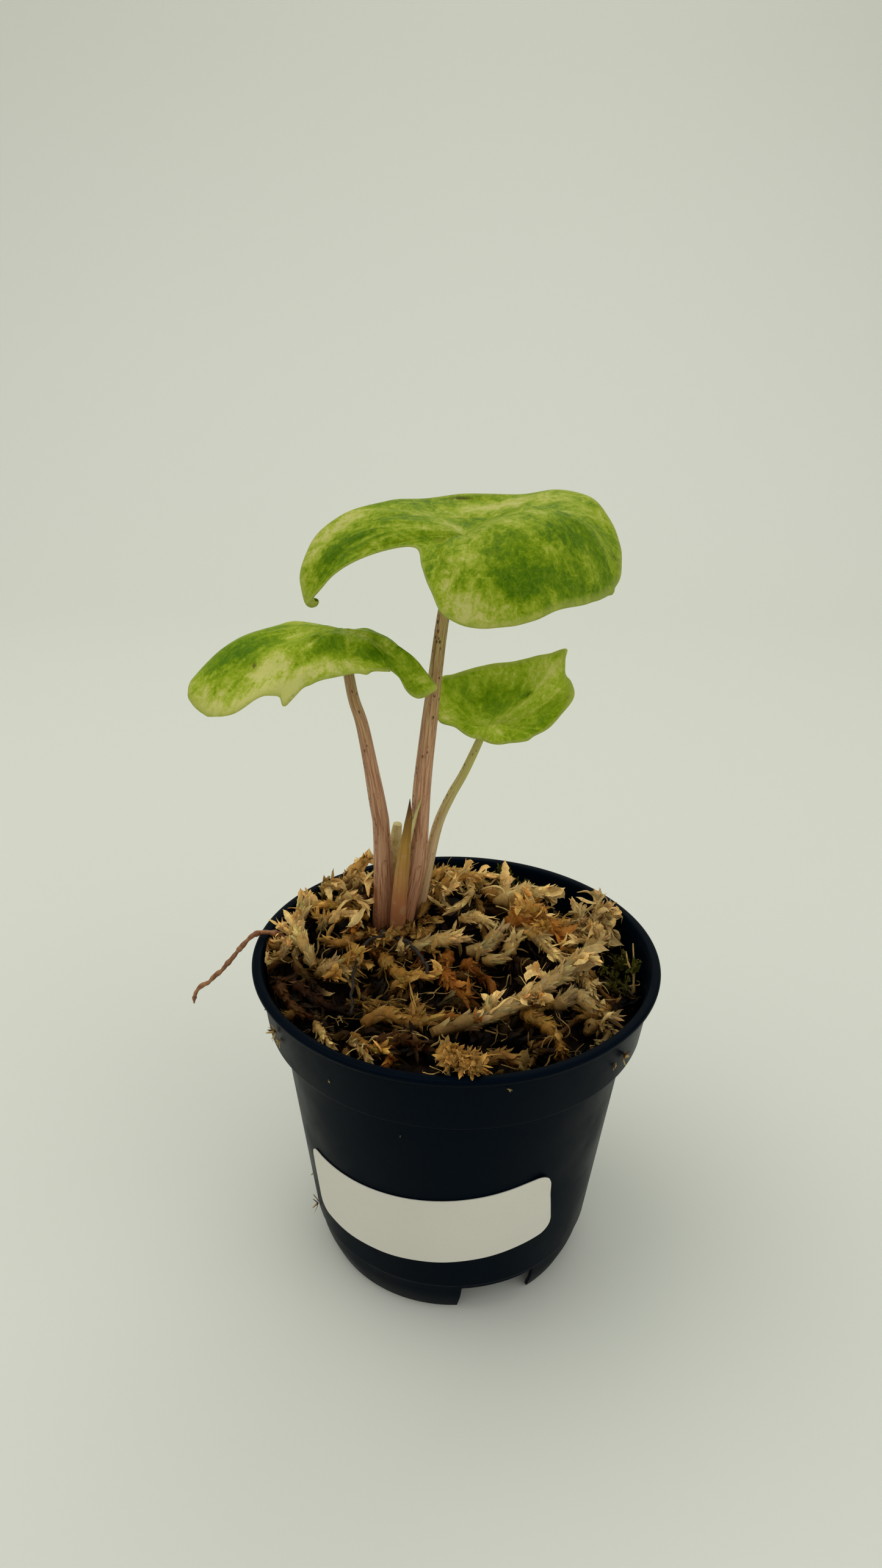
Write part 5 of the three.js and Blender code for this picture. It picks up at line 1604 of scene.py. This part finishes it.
def make_stage():
    """A pale floor that bends up into a wall behind the pot."""
    profile = [(FLOOR_FRONT, 0.0), (FLOOR_BACK, 0.0)]
    for t in np.linspace(0, math.pi / 2, 24)[1:]:
        profile.append((FLOOR_BACK + BEND_RADIUS * math.sin(t), BEND_RADIUS * (1 - math.cos(t))))
    profile.append((FLOOR_BACK + BEND_RADIUS, WALL_TOP))
    vertices = np.array([[x, y, z] for y, z in profile for x in (-STAGE_HALF_WIDTH, STAGE_HALF_WIDTH)]) / MM
    i = np.arange(len(profile) - 1) * 2
    floor = make_mesh("backdrop", vertices, np.stack([i, i + 1, i + 3, i + 2], -1))
    floor.data.materials.append(stage_material())


def add_area(name, at, target, size, power, colour):
    lamp = bpy.data.lights.new(name, "AREA")
    lamp.shape = "DISK"
    lamp.size = size
    lamp.energy = power
    lamp.color = colour
    item = bpy.data.objects.new(name, lamp)
    item.location = at
    item.rotation_euler = (Vector(target) - Vector(at)).to_track_quat("-Z", "Y").to_euler()
    bpy.context.scene.collection.objects.link(item)


def make_light():
    world = bpy.data.worlds.new("soft_sky")
    world.use_nodes = True
    sky = world.node_tree.nodes["Background"].inputs
    sky["Color"].default_value = (1.0, 1.0, 0.985, 1)
    sky["Strength"].default_value = 0.60
    bpy.context.scene.world = world
    add_area("key", (-0.40, 0.05, 0.95), (0, 0, 0.08), 1.0, 2.9, (1.0, 0.99, 0.96))
    add_area("fill", (0.7, -0.5, 0.65), (0, 0, 0.1), 0.9, 1.3, (0.97, 0.98, 1.0))
    add_area("back", (0.2, 0.65, 0.9), (0, 0, 0.12), 0.8, 1.5, (1.0, 1.0, 0.98))


def make_camera():
    bpy.context.scene.view_settings.view_transform = "Standard"
    cp, sp = math.cos(CAMERA_PITCH), math.sin(CAMERA_PITCH)
    cr, sr = math.cos(CAMERA_ROLL), math.sin(CAMERA_ROLL)
    forward = Vector((0, cp, -sp))
    level = Vector((1, 0, 0))
    lift = level.cross(forward)
    right = cr * level + sr * lift
    up = -sr * level + cr * lift
    lens = bpy.data.cameras.new("camera")
    lens.sensor_width = SENSOR_MM
    lens.lens = FOCAL_PX / IMAGE_HEIGHT_PX * SENSOR_MM
    lens.clip_start = 0.01
    camera = bpy.data.objects.new("camera", lens)
    turn = Matrix((right, up, -forward)).transposed().to_4x4()
    camera.matrix_world = Matrix.Translation(Vector(CAMERA_AT) * MM) @ turn
    bpy.context.scene.collection.objects.link(camera)
    bpy.context.scene.camera = camera


def dress_hidden_nodes():
    """Materials for the rootstock and the roots inside the moss, which stay CAD solids."""
    crown = plant_material("rootstock", (0.10, 0.035, 0.018), (0.27, 0.12, 0.07))
    white = plant_material("cream_root", (0.42, 0.33, 0.20), (0.66, 0.58, 0.42))
    for name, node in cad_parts.items():
        if name == "crown" or name.startswith("root_") and name != "root_over_rim":
            node.data.materials.clear()
            node.data.materials.append(crown if name == "crown" else white)


make_camera()
make_stage()
make_light()

make_pot(pot_material())
make_label(label_material())

make_blade("centre", CENTRE_HEART, CENTRE_SPOKES, CENTRE_LOOK)
make_blade("left", LEFT_HEART, LEFT_SPOKES, LEFT_LOOK)
make_blade("right", RIGHT_HEART, RIGHT_SPOKES, RIGHT_LOOK)

pink = stalk_material("pink_stalk", (0.58, 0.32, 0.17), (0.42, 0.34, 0.10), (0.25, 0.085, 0.035), 112, 150)
green = stalk_material("green_stalk", (0.76, 0.58, 0.32), (0.50, 0.58, 0.09), (0.46, 0.33, 0.13), 92, 122)
stub = plant_material("old_stalk", (0.50, 0.40, 0.13), (0.74, 0.64, 0.30), 0.6, 420)
make_stalk("centre_stalk", "petiole_centre", pink, "stalk", CENTRE_STALK, CENTRE_RADII, 1, 1.15)
make_stalk("left_stalk", "petiole_left", pink, "stalk", LEFT_STALK, LEFT_RADII, 2, 1.12)
make_stalk("right_stalk", "petiole_right", green, "stalk_green", RIGHT_STALK, RIGHT_RADII, 3, 1.1, 8)
make_sheath(sheath_material(), green)
make_stalk("old_stalk_stub", "old_stub", stub, "moss_pale", STUB, STUB_RADII, 4, 1.1, 9)

moss = moss_material("moss_fibres", 0.16)
pale = moss_material("pale_moss_fibres", 0.24)
make_core(moss)
moss_bed("moss_low", 201, moss, 50000, (-3.4, -1.6), -1.6, 1.1)
moss_bed("moss_middle", 203, moss, 92000, (-2.2, -0.7), -0.7)
rope_bed("moss_strands", 202, moss, ("tan", "gold", "orange", "brown"), 34, MAIN_ROPES[::2])
rope_bed("moss_pale_strands", 205, pale, ("gold", "cream", "grey", "tan"), 26, MAIN_ROPES[1::2])
for seed, sprig in enumerate(SPRIGS, 101):
    make_sprig(seed, moss if sprig[0] == "orange_lump" else pale, *sprig)
for seed, patch in enumerate(PATCHES, 110):
    make_patch(seed, moss, *patch)
make_details(pale)
make_roots(plant_material("root_bark", (0.16, 0.05, 0.02), (0.36, 0.17, 0.06), 0.55, 600),
           plant_material("dark_thread", (0.010, 0.007, 0.005), (0.03, 0.018, 0.012), 0.6, 800))
make_crumbs(pale)
dress_hidden_nodes()
